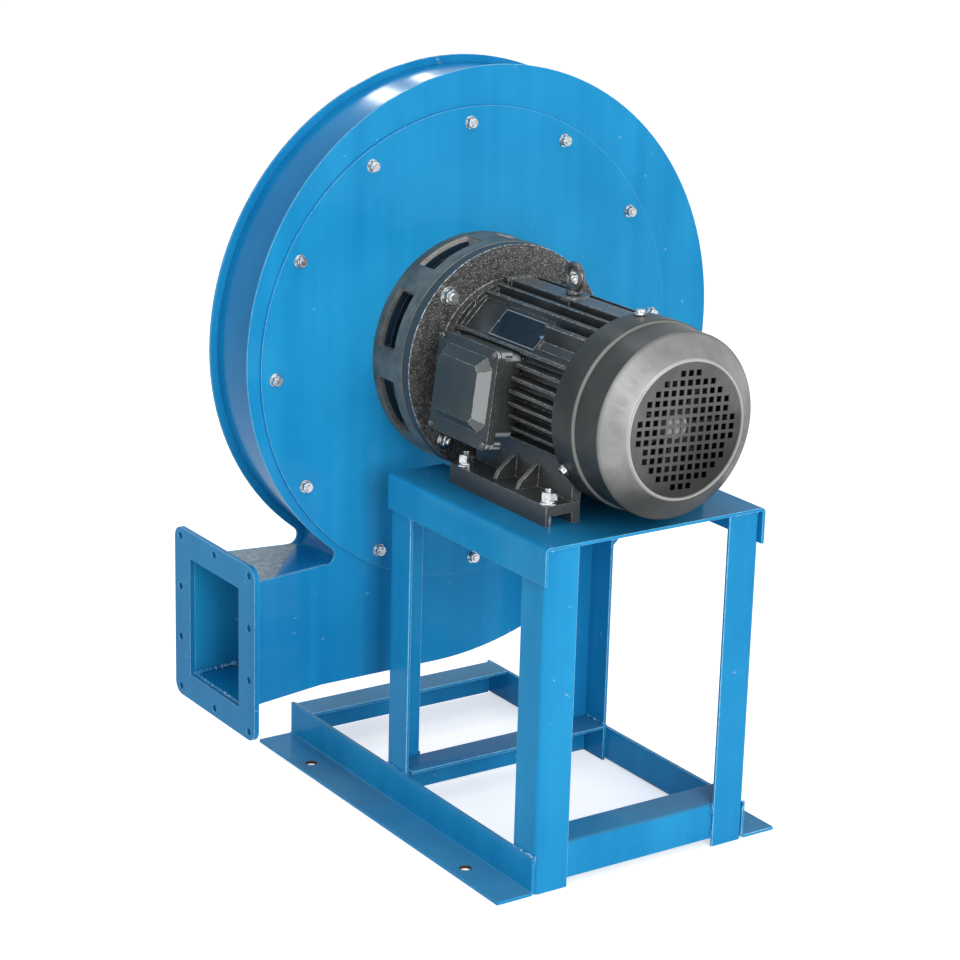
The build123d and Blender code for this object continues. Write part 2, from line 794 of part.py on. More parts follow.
shell_length = box_length - 2 * box_rim
shell_height = body_high - body_low
raise_body = Pos(0, 0, (body_high + body_low) / 2)
room_length = shell_length - 2 * box_wall
room_height = shell_height - 2 * box_wall
room_corner = box_corner - box_wall
shell = raise_body * rounded(shell_length, shell_height, box_corner, box_seat, box_rim_face)
shell += rounded(box_length, box_height, box_corner, box_rim_face - box_rim_thickness, box_rim_face)
shell -= raise_body * rounded(room_length, room_height, room_corner, box_seat + box_wall, box_rim_face + 1)
shell -= Pos(-box_seat, 0, 0) * Rot(0, 90, 0) * Cylinder(wire_hole_radius, 20)
screw_places = [
    (sy * (box_length / 2 - box_screw_inset), sz * (box_height / 2 - box_screw_inset))
    for sy in (-1, 1)
    for sz in (-1, 1)
]
for y, z in screw_places:
    place = Pos(-box_rim_face, y, z) * Rot(0, 90, 0)
    shell += place * Pos(0, 0, box_boss_depth / 2) * Cylinder(box_boss_radius, box_boss_depth)
    shell -= place * Cylinder(box_screw_radius + 0.2, 20)
entry_radius = 9.0
entry_collar = 11.5
entry_depth = box_seat + box_wall + entry_radius
shell -= Pos(-entry_depth, 0, body_low) * Cylinder(entry_radius, 3 * box_wall)
keep(box_face * shell, "terminal_box")

gasket_face = box_rim_face + box_gasket
gasket = rounded(box_length - 2, box_height - 2, box_corner, box_rim_face, gasket_face)
gasket -= raise_body * rounded(room_length, room_height, room_corner, box_rim_face - 1, gasket_face + 1)
cover_face = gasket_face + box_cover_rim
cover = rounded(box_length, box_height, box_corner, gasket_face, cover_face)


def dome_outline(inset, distance):
    """The raised middle's outline, with cut corners, at a distance from the shaft."""
    half = box_length / 2 - dome_side_margin - inset
    low = dome_bottom_margin + inset - box_height / 2
    high = box_height / 2 - dome_top_margin - inset
    cut = dome_chamfer - inset * (2 - math.sqrt(2))
    corners = [
        (low, cut - half),
        (low, half - cut),
        (low + cut, half),
        (high - cut, half),
        (high, half - cut),
        (high, cut - half),
        (high - cut, -half),
        (low + cut, -half),
    ]
    return Rot(0, -90, 0) * Pos(0, 0, distance) * polygon(*corners)


cover += loft([dome_outline(0, cover_face - 1), dome_outline(dome_slope, cover_face + dome_height)])
hollow_face = cover_face + dome_height - box_cover_wall
hollow = loft([dome_outline(box_cover_wall, gasket_face - 0.01), dome_outline(dome_slope, hollow_face)])
cover -= hollow
for y, z in screw_places:
    hole = Pos(-gasket_face, y, z) * Rot(0, 90, 0) * Cylinder(box_screw_radius + 0.3, 20)
    cover -= hole
    gasket -= hole
keep(box_face * gasket, "terminal_box_gasket")
keep(box_face * cover, "terminal_box_cover")
box_screws = []
for y, z in screw_places:
    screw = Pos(-cover_face - 1.6, y, z) * Rot(0, 90, 0) * Cylinder(4.2, 3.2)
    screw += Pos(-cover_face + 5, y, z) * Rot(0, 90, 0) * Cylinder(box_screw_radius, 12)
    box_screws.append(box_face * screw)
keep(box_screws, "terminal_box_screws")
board_face = box_seat + box_wall
board = rounded(board_length, board_height, 3, board_face, board_face + board_thickness)
board -= Pos(-board_face, 0, 0) * Rot(0, 90, 0) * Cylinder(8, 30)
board = Pos(0, board_shift, 0) * board
stud_radius_small = 2.5
studs = []
for y in (-22, 0, 22):
    for z in (-14, 14):
        place = Pos(-board_face - board_thickness, y + board_shift, z) * Rot(0, 90, 0)
        board -= place * Cylinder(stud_radius_small + fit, 3 * board_thickness)
        stud = place * Pos(0, 0, -1) * Cylinder(stud_radius_small, 2 * board_thickness + 1)
        stud += place * Pos(0, 0, -2) * Cylinder(4.6, 4)
        studs.append(box_face * stud)
keep(box_face * board, "terminal_board")
keep(studs, "terminal_studs")
plug = Pos(-entry_depth, 0, body_low + 2) * Cylinder(entry_radius - fit, 10)
plug += Pos(-entry_depth, 0, body_low - 2) * Cylinder(entry_collar, 4)
plug += Pos(-entry_depth, 0, body_low - 10) * extrude(RegularPolygon(entry_collar - 1.5, 6), amount=7)
keep(box_face * plug, "cable_plug")

# Studs, nuts and washers that hold the motor flange to the spacer ring
stud_radius = 6.0
nut_height = 10.0
washer = 2.5
stud_end = 4.0                # past the nuts
stud_back = flange_back - washer - nut_height - stud_end
stud = disc(stud_radius, stud_back, flange_face + spacer_lip, x=flange_bolt_radius)
nut = hex_prism(18.5, flange_back - washer - nut_height, flange_back - washer, x=flange_bolt_radius)
nut += disc(12, flange_back - washer, flange_back, x=flange_bolt_radius)
flange_studs = around(stud + nut, flange_bolt_count, flange_studs_start)
keep(flange_studs, "flange_studs")

# Foot bolts, head down, with a flat and a spring washer under each nut
foot_bolts = []
washer_radius_m12 = 12.0
for x, y in foot_places:
    seat_z = plate_top + foot_thickness
    nut_z = seat_z + 2 * washer
    bolt = post(foot_hole_radius - 0.5, plate_top - sheet - 2, nut_z + nut_height + stud_end, x, y)
    bolt += post(washer_radius_m12, seat_z, seat_z + washer, x, y)
    bolt += post(washer_radius_m12 - 2, seat_z, nut_z, x, y)
    nut = Pos(x, y, nut_z) * extrude(RegularPolygon(18.5 / math.sqrt(3), 6), amount=nut_height)
    head = Pos(x, y, plate_top - sheet - 8) * extrude(RegularPolygon(18.5 / math.sqrt(3), 6), amount=8)
    foot_bolts.append(bolt + nut + head)
keep(foot_bolts, "foot_bolts")

# Spacer ring: slotted cast ring with an inner lip at each end
spacer = turned(
    [
        (spacer_radius, flange_face),
        (spacer_radius, cover_back),
        (spacer_radius - spacer_wall - 16, cover_back),
        (spacer_radius - spacer_wall - 16, cover_back - spacer_lip),
        (spacer_radius - spacer_wall, cover_back - spacer_lip - spacer_lip_slope),
        (spacer_radius - spacer_wall, flange_face + spacer_lip + spacer_lip_slope),
        (flange_spigot_radius + fit, flange_face + spacer_lip),
        (flange_spigot_radius + fit, flange_face),
    ]
)
half_arc = math.radians(slot_arc / 2)
inner_r = 100.0
outer_r = 200.0
wedge = polygon(
    (inner_r * math.cos(half_arc), -inner_r * math.sin(half_arc)),
    (outer_r * math.cos(half_arc), -outer_r * math.sin(half_arc)),
    (outer_r * math.cos(half_arc), outer_r * math.sin(half_arc)),
    (inner_r * math.cos(half_arc), inner_r * math.sin(half_arc)),
)
slot = upright(wedge, cover_back - slot_front - slot_length, cover_back - slot_front)
slot -= disc(spacer_radius - spacer_wall - 4, 0, cover_back)
slot = fillet(slot.edges().filter_by(GeomType.LINE).filter_by(lambda e: abs(e.center().Y - cover_back) > 1
              and e.length > 20 and abs(e.tangent_at(0.5).Y) < 0.1), 3)
for cut in around(slot, slot_count, 360 / slot_count / 2):
    spacer -= cut
stud_bore = disc(stud_radius + fit, flange_face - 1, flange_face + spacer_lip + 1, x=flange_bolt_radius)
for hole in around(stud_bore, flange_bolt_count, flange_studs_start):
    spacer -= hole
screw_circle = spacer_radius - spacer_wall - 6
thread_bore = disc(spacer_screw_radius + fit, cover_back - spacer_lip, cover_back + 1, x=screw_circle)
for hole in around(thread_bore, spacer_screw_count):
    spacer -= hole
keep(spacer, "spacer_ring")
screw = disc(spacer_screw_radius, cover_back - spacer_lip + 1, cover_front + 0.5, x=screw_circle)
screw += hex_prism(16, cover_front, cover_front + 6, x=screw_circle)
keep(around(screw, spacer_screw_count), "spacer_screws")

# Removable cover, with the hub hole, and its bolts, washers and captive nuts
case_cover = tube(cover_radius, cover_bore_radius, cover_back, cover_front)
bolt_hole = disc(case_bolt_radius + 0.5, cover_back - 1, cover_front + 1, x=cover_bolt_circle)
screw_hole = disc(spacer_screw_radius + 0.5, cover_back - 1, cover_front + 1, x=screw_circle)
for hole in around(bolt_hole, cover_bolt_count, cover_bolt_start) + around(screw_hole, spacer_screw_count):
    case_cover -= hole
seal_screw_circle = 70.0
seal_hole = disc(3.5, cover_back - 1, cover_front + 1, x=seal_screw_circle)
for hole in around(seal_hole, 4, 45):
    case_cover -= hole
keep(case_cover, "casing_cover")
case_washer = 1.6
bolt = disc(case_bolt_radius, cover_back - 2, case_back + case_nut + 3, x=cover_bolt_circle)
bolt += hex_prism(13, cover_back - case_washer - 5.5, cover_back - case_washer, x=cover_bolt_circle)
bolt += disc(8.5, cover_back - case_washer, cover_back, x=cover_bolt_circle)
weld_nut = hex_prism(13, case_back, case_back + case_nut, x=cover_bolt_circle)
weld_nut -= disc(case_bolt_radius + fit, case_back - 1, case_back + case_nut + 1, x=cover_bolt_circle)
cover_bolts = around(bolt, cover_bolt_count, cover_bolt_start)
weld_nuts = around(weld_nut, cover_bolt_count, cover_bolt_start)
keep(cover_bolts + weld_nuts, "cover_bolts")

# Hub seal: felt ring between the cover and a retaining ring
seal_ring = tube(78, hub_barrel_radius + 1.5, cover_back - 4, cover_back)
felt_groove = tube(cover_bore_radius - 2, hub_barrel_radius + 1.5, cover_back - 8, cover_back - 4)
seal_ring += felt_groove
seal_screw = disc(3, cover_back - 8, cover_front + 1, x=seal_screw_circle)
seal_screw += hex_prism(10, cover_back - 8, cover_back - 4, x=seal_screw_circle)
for hole in around(disc(3.4, cover_back - 9, cover_back + 1, x=seal_screw_circle), 4, 45):
    seal_ring -= hole
keep(seal_ring, "hub_seal_ring")
keep(around(seal_screw, 4, 45), "seal_screws")

# Casing outline: four arcs about stepped centres, run into the outlet duct
left_radius = reach_left + upper_centre_x
left_centre_z = reach_top - left_radius
right_radius = reach_right - upper_centre_x
right_centre_z = reach_top - right_radius
bottom_radius = right_centre_z + reach_bottom
bottom_centre_x = reach_right - bottom_radius
tongue_arc_radius = reach_left + tongue_centre_x
duct_end = outlet_face + outlet_flange_thickness
root2 = math.sqrt(0.5)


def casing_outline(inset, roof, corner):
    """The casing's side view, drawn in by inset, with the duct roof and the tongue's rounding given."""
    r1 = left_radius - inset
    r2 = right_radius - inset
    r3 = bottom_radius - inset
    r0 = tongue_arc_radius - inset
    floor = -reach_bottom + inset
    drop = duct_drop - max(plate_overhang - inset, 0)
    scroll = make_face(
        ThreePointArc(
            (bottom_centre_x, floor),
            (bottom_centre_x + r3 * root2, right_centre_z - r3 * root2),
            (reach_right - inset, right_centre_z),
        )
        + ThreePointArc(
            (reach_right - inset, right_centre_z),
            (upper_centre_x + r2 * root2, right_centre_z + r2 * root2),
            (upper_centre_x, right_centre_z + r2),
        )
        + ThreePointArc(
            (upper_centre_x, left_centre_z + r1),
            (upper_centre_x - r1 * root2, left_centre_z + r1 * root2),
            (upper_centre_x - r1, left_centre_z),
        )
        + ThreePointArc(
            (tongue_centre_x - r0, left_centre_z),
            (tongue_centre_x - r0 * root2, left_centre_z - r0 * root2),
            (tongue_centre_x, left_centre_z - r0),
        )
        + Line((tongue_centre_x, left_centre_z - r0), (bottom_centre_x, floor))
    )
    duct = polygon(
        (duct_end, roof),
        (tongue_centre_x, roof),
        (tongue_centre_x + 40, floor + 40),
        (bottom_centre_x, floor),
        (duct_start, floor),
        (duct_end, floor - drop),
    )
    whole = scroll + duct
    meet_x = tongue_centre_x - math.sqrt(r0 ** 2 - (left_centre_z - roof) ** 2)
    notch = min(whole.vertices(), key=lambda v: (v.X - meet_x) ** 2 + (v.Y - roof) ** 2)
    return fillet(notch, corner)



def plan_band(face_y, outward, thickness):
    """Plan of a side plate: straight over the scroll, bent outwards along the duct."""
    end_y = face_y + outward * duct_flare
    band = polygon(
        (duct_end, end_y),
        (duct_start, face_y),
        (reach_right + 5, face_y),
        (reach_right + 5, face_y + outward * thickness),
        (duct_start, face_y + outward * thickness),
        (duct_end, end_y + outward * thickness),
    )
    return level(band, shaft_z - reach_bottom - 30, shaft_z + duct_top + plate_overhang)


def flat_band(y0, y1):
    """The room between two levels of Y, above the duct."""
    return box(-500, 500, y0, y1, shaft_z + duct_top + plate_overhang, shaft_z + 500)


side_outline = casing_outline(0.0, duct_top, tongue_radius - 4)
side_block = upright(side_outline, case_back - duct_flare - 10, case_front + duct_flare + 10)
back_plate = (side_block & plan_band(case_back, -1, case_sheet)) + (
    side_block & flat_band(cover_front, case_back)
)
back_plate -= disc(cover_opening_radius, cover_front - 1, case_back + 1)
plate_hole = disc(case_bolt_radius + 0.5, cover_front - 1, case_back + 1, x=cover_bolt_circle)
for hole in around(plate_hole, cover_bolt_count, cover_bolt_start):
    back_plate -= hole
keep(back_plate, "volute_back_plate")

front_plate = (side_block & plan_band(case_front, 1, case_sheet)) + (
    side_block & flat_band(case_front, case_front + case_sheet)
)
inlet_opening = inlet_seat_radius - 24
front_plate -= disc(inlet_opening, case_front - 1, case_front + case_sheet + 1)
inlet_stud_radius = 4.0
inlet_plate_hole = disc(inlet_stud_radius + 0.5, case_front - 30, case_front + 30, x=inlet_bolt_circle)
for hole in around(inlet_plate_hole, inlet_bolt_count, 22.5):
    front_plate -= hole
keep(front_plate, "volute_front_plate")

# Wrapper: the strip between the side plates, with the duct roof, floor and rounded tongue
wrap_outer = casing_outline(plate_overhang, duct_top, tongue_radius)
wrap_inner = casing_outline(plate_overhang + case_sheet, duct_top - case_sheet, tongue_radius + case_sheet)
wrap_depth_0 = case_back - duct_flare - 10
wrap_depth_1 = case_front + duct_flare + 10
strip = upright(wrap_outer, wrap_depth_0, wrap_depth_1)
strip -= upright(wrap_inner, wrap_depth_0 - 1, wrap_depth_1 + 1)
inner_plan = polygon(
    (duct_end, case_back - duct_flare),
    (duct_start, case_back),
    (reach_right + 5, case_back),
    (reach_right + 5, case_front),
    (duct_start, case_front),
    (duct_end, case_front + duct_flare),
)
strip = (strip & level(inner_plan, shaft_z - reach_bottom - 30, shaft_z + duct_top + plate_overhang)) + (
    strip & flat_band(case_back, case_front)
)
keep(strip, "volute_wrapper")

# Outlet flange, with ten holes
duct_inner_floor = -reach_bottom + plate_overhang + case_sheet - duct_drop
duct_inner_roof = duct_top - case_sheet
mouth_height = duct_inner_roof - duct_inner_floor
mouth_width = case_width + 2 * duct_flare
mouth_z = shaft_z + (duct_inner_roof + duct_inner_floor) / 2
flange = Pos(duct_end, case_middle, mouth_z) * Rot(0, -90, 0) * extrude(
    RectangleRounded(outlet_flange_height, outlet_flange_width, outlet_flange_corner),
    amount=outlet_flange_thickness,
)
flange -= box(
    outlet_face - 1,
    duct_end + 1,
    case_middle - mouth_width / 2,
    case_middle + mouth_width / 2,
    mouth_z - mouth_height / 2,
    mouth_z + mouth_height / 2,
)
outlet_holes = [
    (side * outlet_hole_pitch_y / 2, (row - 1.5) * outlet_hole_pitch_z)
    for side in (-1, 1)
    for row in range(4)
]
outlet_holes += [(0, -1.5 * outlet_hole_pitch_z), (0, 1.5 * outlet_hole_pitch_z)]
for y, z in outlet_holes:
    place = Pos(outlet_face, case_middle + y, mouth_z + z)
    flange -= place * Rot(0, 90, 0) * Cylinder(outlet_hole_radius, 30)
keep(flange, "outlet_flange")

# Inlet: bell cone inside the casing, and a collar outside with its duct flange
collar_back = case_front + case_sheet
collar_seat_sheet = 4.0
collar_front = collar_back + inlet_tube_length
collar = turned(
    [
        (inlet_radius, collar_back),
        (inlet_seat_radius, collar_back),
        (inlet_seat_radius, collar_back + collar_seat_sheet),
        (inlet_radius + inlet_sheet, collar_back + collar_seat_sheet),
        (inlet_radius + inlet_sheet, collar_front - inlet_flange_thickness),
        (inlet_flange_radius, collar_front - inlet_flange_thickness),
        (inlet_flange_radius, collar_front),
        (inlet_radius, collar_front),
    ]
)
ring_back = collar_front - inlet_flange_thickness
duct_hole = disc(inlet_hole_radius, ring_back - 1, collar_front + 1, x=inlet_hole_circle)
for hole in around(duct_hole, inlet_hole_count):
    collar -= hole
for hole in around(inlet_plate_hole, inlet_bolt_count, 22.5):
    collar -= hole
keep(collar, "inlet_collar")
cone = turned(
    [
        (inlet_opening - 0.5, collar_back),
        (inlet_radius - 0.5, collar_back),
        (cone_throat_radius, case_front - cone_depth),
        (cone_throat_radius + 2.5, case_front - cone_depth),
        (inlet_radius + 3, collar_back - 3),
        (inlet_opening - 0.5, collar_back - 3),
    ]
)
keep(cone, "inlet_cone")
inlet_bolt = disc(inlet_stud_radius, case_front - 9, collar_back + collar_seat_sheet + 2, x=inlet_bolt_circle)
inlet_bolt += hex_prism(
    13,
    collar_back + collar_seat_sheet + 1.6,
    collar_back + collar_seat_sheet + 7,
    x=inlet_bolt_circle,
)
inlet_bolt += disc(
    8.5,
    collar_back + collar_seat_sheet,
    collar_back + collar_seat_sheet + 1.6,
    x=inlet_bolt_circle,
)
inlet_bolt += hex_prism(13, case_front - 7, case_front, x=inlet_bolt_circle)
keep(around(inlet_bolt, inlet_bolt_count, 22.5), "inlet_bolts")

# Impeller hub, keyed on the shaft, with the washer and bolt that hold it
hub = turned(
    [
        (shaft_radius + fit, hub_back),
        (hub_barrel_radius, hub_back),
        (hub_barrel_radius, disc_front - hub_flange_thickness - 6),
        (hub_barrel_radius + 6, disc_front - hub_flange_thickness),
        (hub_flange_radius, disc_front - hub_flange_thickness),
        (hub_flange_radius, disc_front),
        (washer_radius + 4, disc_front),
        (washer_radius + 4, disc_front + disc_sheet),
        (shaft_radius + fit, disc_front + disc_sheet),
    ]
)
hub -= box(
    -key_width / 2,
    key_width / 2,
    hub_back - 1,
    disc_front + disc_sheet + 1,
    shaft_z,
    key_top + 0.2,
)
hub_flange_back = disc_front - hub_flange_thickness
rivet_bore = disc(rivet_radius + fit, hub_flange_back - 1, disc_front + disc_sheet + 1, x=rivet_circle)
for hole in around(rivet_bore, rivet_count):
    hub -= hole
keep(hub, "impeller_hub")
lock_washer_y = disc_front + disc_sheet
end_washer = tube(washer_radius, lock_radius + 0.5, lock_washer_y, lock_washer_y + washer_thickness)
keep(end_washer, "impeller_end_washer")
lock_bolt = disc(lock_radius, shaft_end - lock_depth + 3, lock_washer_y + washer_thickness + 1)
lock_bolt += hex_prism(18.5, lock_washer_y + washer_thickness, lock_washer_y + washer_thickness + 7.5)
keep(lock_bolt, "impeller_lock_bolt")

# Impeller: back disc, riveted to the hub, blades, and the conical shroud round the eye
back_disc = tube(impeller_radius, washer_radius + 4 + fit, disc_front, disc_front + disc_sheet)
for hole in around(rivet_bore, rivet_count):
    back_disc -= hole
keep(back_disc, "impeller_back_disc")
rivet_head = rivet_radius + 3
rivet = disc(rivet_radius, hub_flange_back, disc_front + disc_sheet, x=rivet_circle)
rivet += disc(rivet_head, hub_flange_back - 2.5, hub_flange_back, x=rivet_circle)
rivet += disc(rivet_head, disc_front + disc_sheet, disc_front + disc_sheet + 2.5, x=rivet_circle)
keep(around(rivet, rivet_count), "impeller_rivets")
shroud = turned(
    [
        (eye_radius, shroud_eye_y + 6),
        (eye_radius + shroud_sheet, shroud_eye_y + 6),
        (eye_radius + shroud_sheet, shroud_eye_y + shroud_sheet),
        (impeller_radius, shroud_rim_y + shroud_sheet),
        (impeller_radius, shroud_rim_y),
        (eye_radius, shroud_eye_y),
    ]
)
keep(shroud, "impeller_shroud")
disc_top = disc_front + disc_sheet
tip = (impeller_radius - 1, 0.0)
root_angle = math.radians(-blade_inlet_lean)
root_point = (blade_inner_radius * math.cos(root_angle), blade_inner_radius * math.sin(root_angle))
blade_path = TangentArc(tip, root_point, tangent=(-1.0, -0.1))
blade_face = trace(blade_path, blade_sheet)
shroud_slope = (shroud_eye_y - shroud_rim_y) / (impeller_radius - eye_radius)
shroud_room = turned(
    [
        (blade_inner_radius - 20, disc_top),
        (impeller_radius - 0.5, disc_top),
        (impeller_radius - 0.5, shroud_rim_y + 0.5 * shroud_slope),
        (eye_radius, shroud_eye_y),
        (blade_inner_radius - 20, shroud_eye_y),
    ]
)
blade = upright(blade_face, disc_top, shroud_eye_y + 2) & shroud_room
keep(around(blade, blade_count), "impeller_blades")
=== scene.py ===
import math
import bpy
import bmesh
from mathutils import Matrix, Vector


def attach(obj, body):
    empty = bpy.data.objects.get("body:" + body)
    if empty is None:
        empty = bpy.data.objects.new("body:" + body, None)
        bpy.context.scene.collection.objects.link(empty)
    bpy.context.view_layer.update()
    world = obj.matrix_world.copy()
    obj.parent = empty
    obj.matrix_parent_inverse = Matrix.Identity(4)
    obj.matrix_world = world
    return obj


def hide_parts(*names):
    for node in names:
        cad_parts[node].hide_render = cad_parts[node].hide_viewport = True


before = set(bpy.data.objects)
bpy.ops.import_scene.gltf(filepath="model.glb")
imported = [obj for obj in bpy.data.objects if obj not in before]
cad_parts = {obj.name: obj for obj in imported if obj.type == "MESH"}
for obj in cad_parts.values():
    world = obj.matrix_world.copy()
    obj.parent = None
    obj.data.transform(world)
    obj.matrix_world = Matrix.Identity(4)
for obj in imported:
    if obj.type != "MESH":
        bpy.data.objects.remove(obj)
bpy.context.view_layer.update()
scene = bpy.context.scene
scene.view_settings.view_transform = "Standard"

# Camera: a long lens to the left of the motor's rear end, a little above the fan.
# Its place and angles are those of the photograph, found from the motor's standard sizes.
photo_pixels = 960
film_width = 36.0
focal_pixels = 2653.7
camera_place = (-1.87206, -2.67120, 1.42963)
camera_turn = math.radians(-34.14)
camera_dip = math.radians(17.13)
camera_roll = math.radians(1.56)
aim = Vector((
    -math.sin(camera_turn) * math.cos(camera_dip),
    math.cos(camera_turn) * math.cos(camera_dip),
    -math.sin(camera_dip),
))
level = Vector((math.cos(camera_turn), math.sin(camera_turn), 0))
plumb = level.cross(aim)
across = level * math.cos(camera_roll) + plumb * math.sin(camera_roll)
upwards = plumb * math.cos(camera_roll) - level * math.sin(camera_roll)
camera = bpy.data.objects.new("camera", bpy.data.cameras.new("camera"))
camera.data.sensor_width = film_width
camera.data.lens = film_width * focal_pixels / photo_pixels
camera.data.clip_end = 50
camera_axes = Matrix((across, upwards, -aim)).transposed()
camera.matrix_world = Matrix.Translation(camera_place) @ camera_axes.to_4x4()
scene.collection.objects.link(camera)
scene.camera = camera

# Studio: a pale floor under a white room. The camera, glossy and clear rays see both as white,
# and a plain grey light comes from the room, while the floor keeps a soft shadow under the object.
# Two narrow lamps behind the casing make the bright streaks on the wrapper's top.
class Term:
    """A socket in a sum: an expression on it adds Math nodes to its material."""

    def __init__(self, finish, socket):
        self.finish = finish
        self.socket = socket

    def maths(self, operation, *values):
        return self.finish.node("ShaderNodeMath", {"operation": operation}, values)

    def __add__(self, other):
        return self.maths("ADD", self, other)

    def __mul__(self, other):
        return self.maths("MULTIPLY", self, other)

    def __sub__(self, other):
        return self.maths("SUBTRACT", self, other)

    def __rsub__(self, other):
        return self.maths("SUBTRACT", other, self)

    def __pow__(self, other):
        return self.maths("POWER", self, other)

    def least(self, other):
        return self.maths("MINIMUM", self, other)

    def most(self, other):
        return self.maths("MAXIMUM", self, other)

    def size(self):
        return self.maths("ABSOLUTE", self)

    def between(self, low, high):
        """0 under low and 1 over high, with a smooth rise."""
        settings = {"interpolation_type": "SMOOTHSTEP"}
        inputs = {"Value": self, "From Min": low, "From Max": high}
        return self.finish.node("ShaderNodeMapRange", settings, inputs)

    def within(self, low, rise, fall, high):
        """1 from rise to fall, and 0 under low and over high."""
        return self.between(low, rise) * (1 - self.between(fall, high))

    __radd__ = __add__
    __rmul__ = __mul__


class Finish:
    """A material built from shader nodes over one Principled shader."""

    def __init__(self, name):
        self.material = bpy.data.materials.new(name)
        self.material.use_nodes = True
        self.tree = self.material.node_tree
        self.shader = self.tree.nodes["Principled BSDF"]

    def node(self, kind, settings=None, inputs=(), out=0):
        """Add a node with its settings, then the values or links of its sockets."""
        made = self.tree.nodes.new(kind)
        for key, value in (settings or {}).items():
            setattr(made, key, value)
        pairs = inputs.items() if isinstance(inputs, dict) else enumerate(inputs)
        for key, value in pairs:
            if isinstance(value, Term):
                self.tree.links.new(value.socket, made.inputs[key])
            elif isinstance(value, tuple) and len(value) == 3 and made.inputs[key].type == "RGBA":
                made.inputs[key].default_value = (*value, 1)
            else:
                made.inputs[key].default_value = value
        return Term(self, made.outputs[out])

    def place(self):
        return self.node("ShaderNodeTexCoord", out="Object")

    def axes(self, place):
        """The X, Y and Z of a place or a direction, each as a term of its own."""
        split = self.node("ShaderNodeSeparateXYZ", None, {0: place}).socket.node
        return [Term(self, output) for output in split.outputs]

    def facing(self):
        """The X, Y and Z of the way that the surface faces."""
        return self.axes(self.node("ShaderNodeNewGeometry", out="Normal"))

    def noise(self, scale, detail=3, roughness=0.5, place=None):
        place = place or self.place()
        inputs = {"Vector": place, "Scale": scale, "Detail": detail, "Roughness": roughness}
        return self.node("ShaderNodeTexNoise", None, inputs)

    def mix(self, share, low, high):
        """A colour between two others."""
        return self.node("ShaderNodeMix", {"data_type": "RGBA"}, {0: share, 6: low, 7: high}, out=2)

    def bump(self, height, distance, strength=1.0):
        inputs = {"Height": height, "Distance": distance, "Strength": strength}
        return self.node("ShaderNodeBump", None, inputs)

    def set(self, **values):
        """Set or link the shader's sockets, named with underscores for spaces."""
        for key, value in values.items():
            socket = self.shader.inputs[key.replace("_", " ")]
            if isinstance(value, Term):
                self.tree.links.new(value.socket, socket)
            elif socket.type == "RGBA":
                socket.default_value = (*value, 1)
            else:
                socket.default_value = value


def srgb(red, green, blue):
    """A colour written in the 0 to 255 steps of a picture, as the renderer takes it."""
    steps = [value / 255 for value in (red, green, blue)]
    return tuple(v / 12.92 if v <= 0.04045 else ((v + 0.055) / 1.055) ** 2.4 for v in steps)


floor_reach = 12.0
floor_top = -0.0008
floor_glow = 0.57
room_level = 0.58
floor_finish = Finish("studio_floor")
floor_finish.set(Base_Color=(0.82, 0.82, 0.82), Roughness=0.95, Specular_IOR_Level=0.0)
floor_mesh = bpy.data.meshes.new("studio_floor")
floor_signs = ((-1, -1), (1, -1), (1, 1), (-1, 1))
floor_corners = [(x * floor_reach, y * floor_reach, floor_top) for x, y in floor_signs]
floor_mesh.from_pydata(floor_corners, [], [(0, 1, 2, 3)])
floor = bpy.data.objects.new("studio_floor", floor_mesh)
floor_mesh.materials.append(floor_finish.material)
scene.collection.objects.link(floor)
ray = floor_finish.node("ShaderNodeLightPath", out="Is Camera Ray")
glossy_ray = Term(floor_finish, ray.socket.node.outputs["Is Glossy Ray"])
clear_ray = Term(floor_finish, ray.socket.node.outputs["Is Transmission Ray"])
floor_finish.set(Emission_Color=(1.0, 1.0, 1.0))
shine = (ray + glossy_ray + clear_ray).least(1.0) * floor_glow
floor_finish.tree.links.new(shine.socket, floor_finish.shader.inputs["Emission Strength"])

world = bpy.data.worlds.new("studio_room")
world.use_nodes = True
room = world.node_tree
room_rays = room.nodes.new("ShaderNodeLightPath")
room_light = room.nodes["Background"]
room_light.inputs[0].default_value = (0.97, 0.98, 1.0, 1)
room_light.inputs[1].default_value = room_level
room_white = room.nodes.new("ShaderNodeBackground")
room_white.inputs[0].default_value = (1.0, 1.0, 1.0, 1)
room_white.inputs[1].default_value = 1.0
room_blend = room.nodes.new("ShaderNodeMixShader")
seen = [room.nodes.new("ShaderNodeMath") for _ in range(2)]
for step in seen:
    step.operation = "MAXIMUM"
room.links.new(room_rays.outputs["Is Camera Ray"], seen[0].inputs[0])
room.links.new(room_rays.outputs["Is Glossy Ray"], seen[0].inputs[1])
room.links.new(seen[0].outputs[0], seen[1].inputs[0])
room.links.new(room_rays.outputs["Is Transmission Ray"], seen[1].inputs[1])
room.links.new(seen[1].outputs[0], room_blend.inputs[0])
room.links.new(room_light.outputs[0], room_blend.inputs[1])
room.links.new(room_white.outputs[0], room_blend.inputs[2])
room.links.new(room_blend.outputs[0], room.nodes["World Output"].inputs[0])
scene.world = world


def lamp(name, place, target, width, height, watts):
    """A soft box that faces its target."""
    light = bpy.data.lights.new(name, "AREA")
    light.shape = "RECTANGLE"
    light.size = width
    light.size_y = height
    light.energy = watts
    made = bpy.data.objects.new(name, light)
    aim_to = Vector(target) - Vector(place)
    made.matrix_world = Matrix.Translation(place) @ aim_to.to_track_quat("-Z", "Y").to_matrix().to_4x4()
    made.visible_camera = False
    scene.collection.objects.link(made)


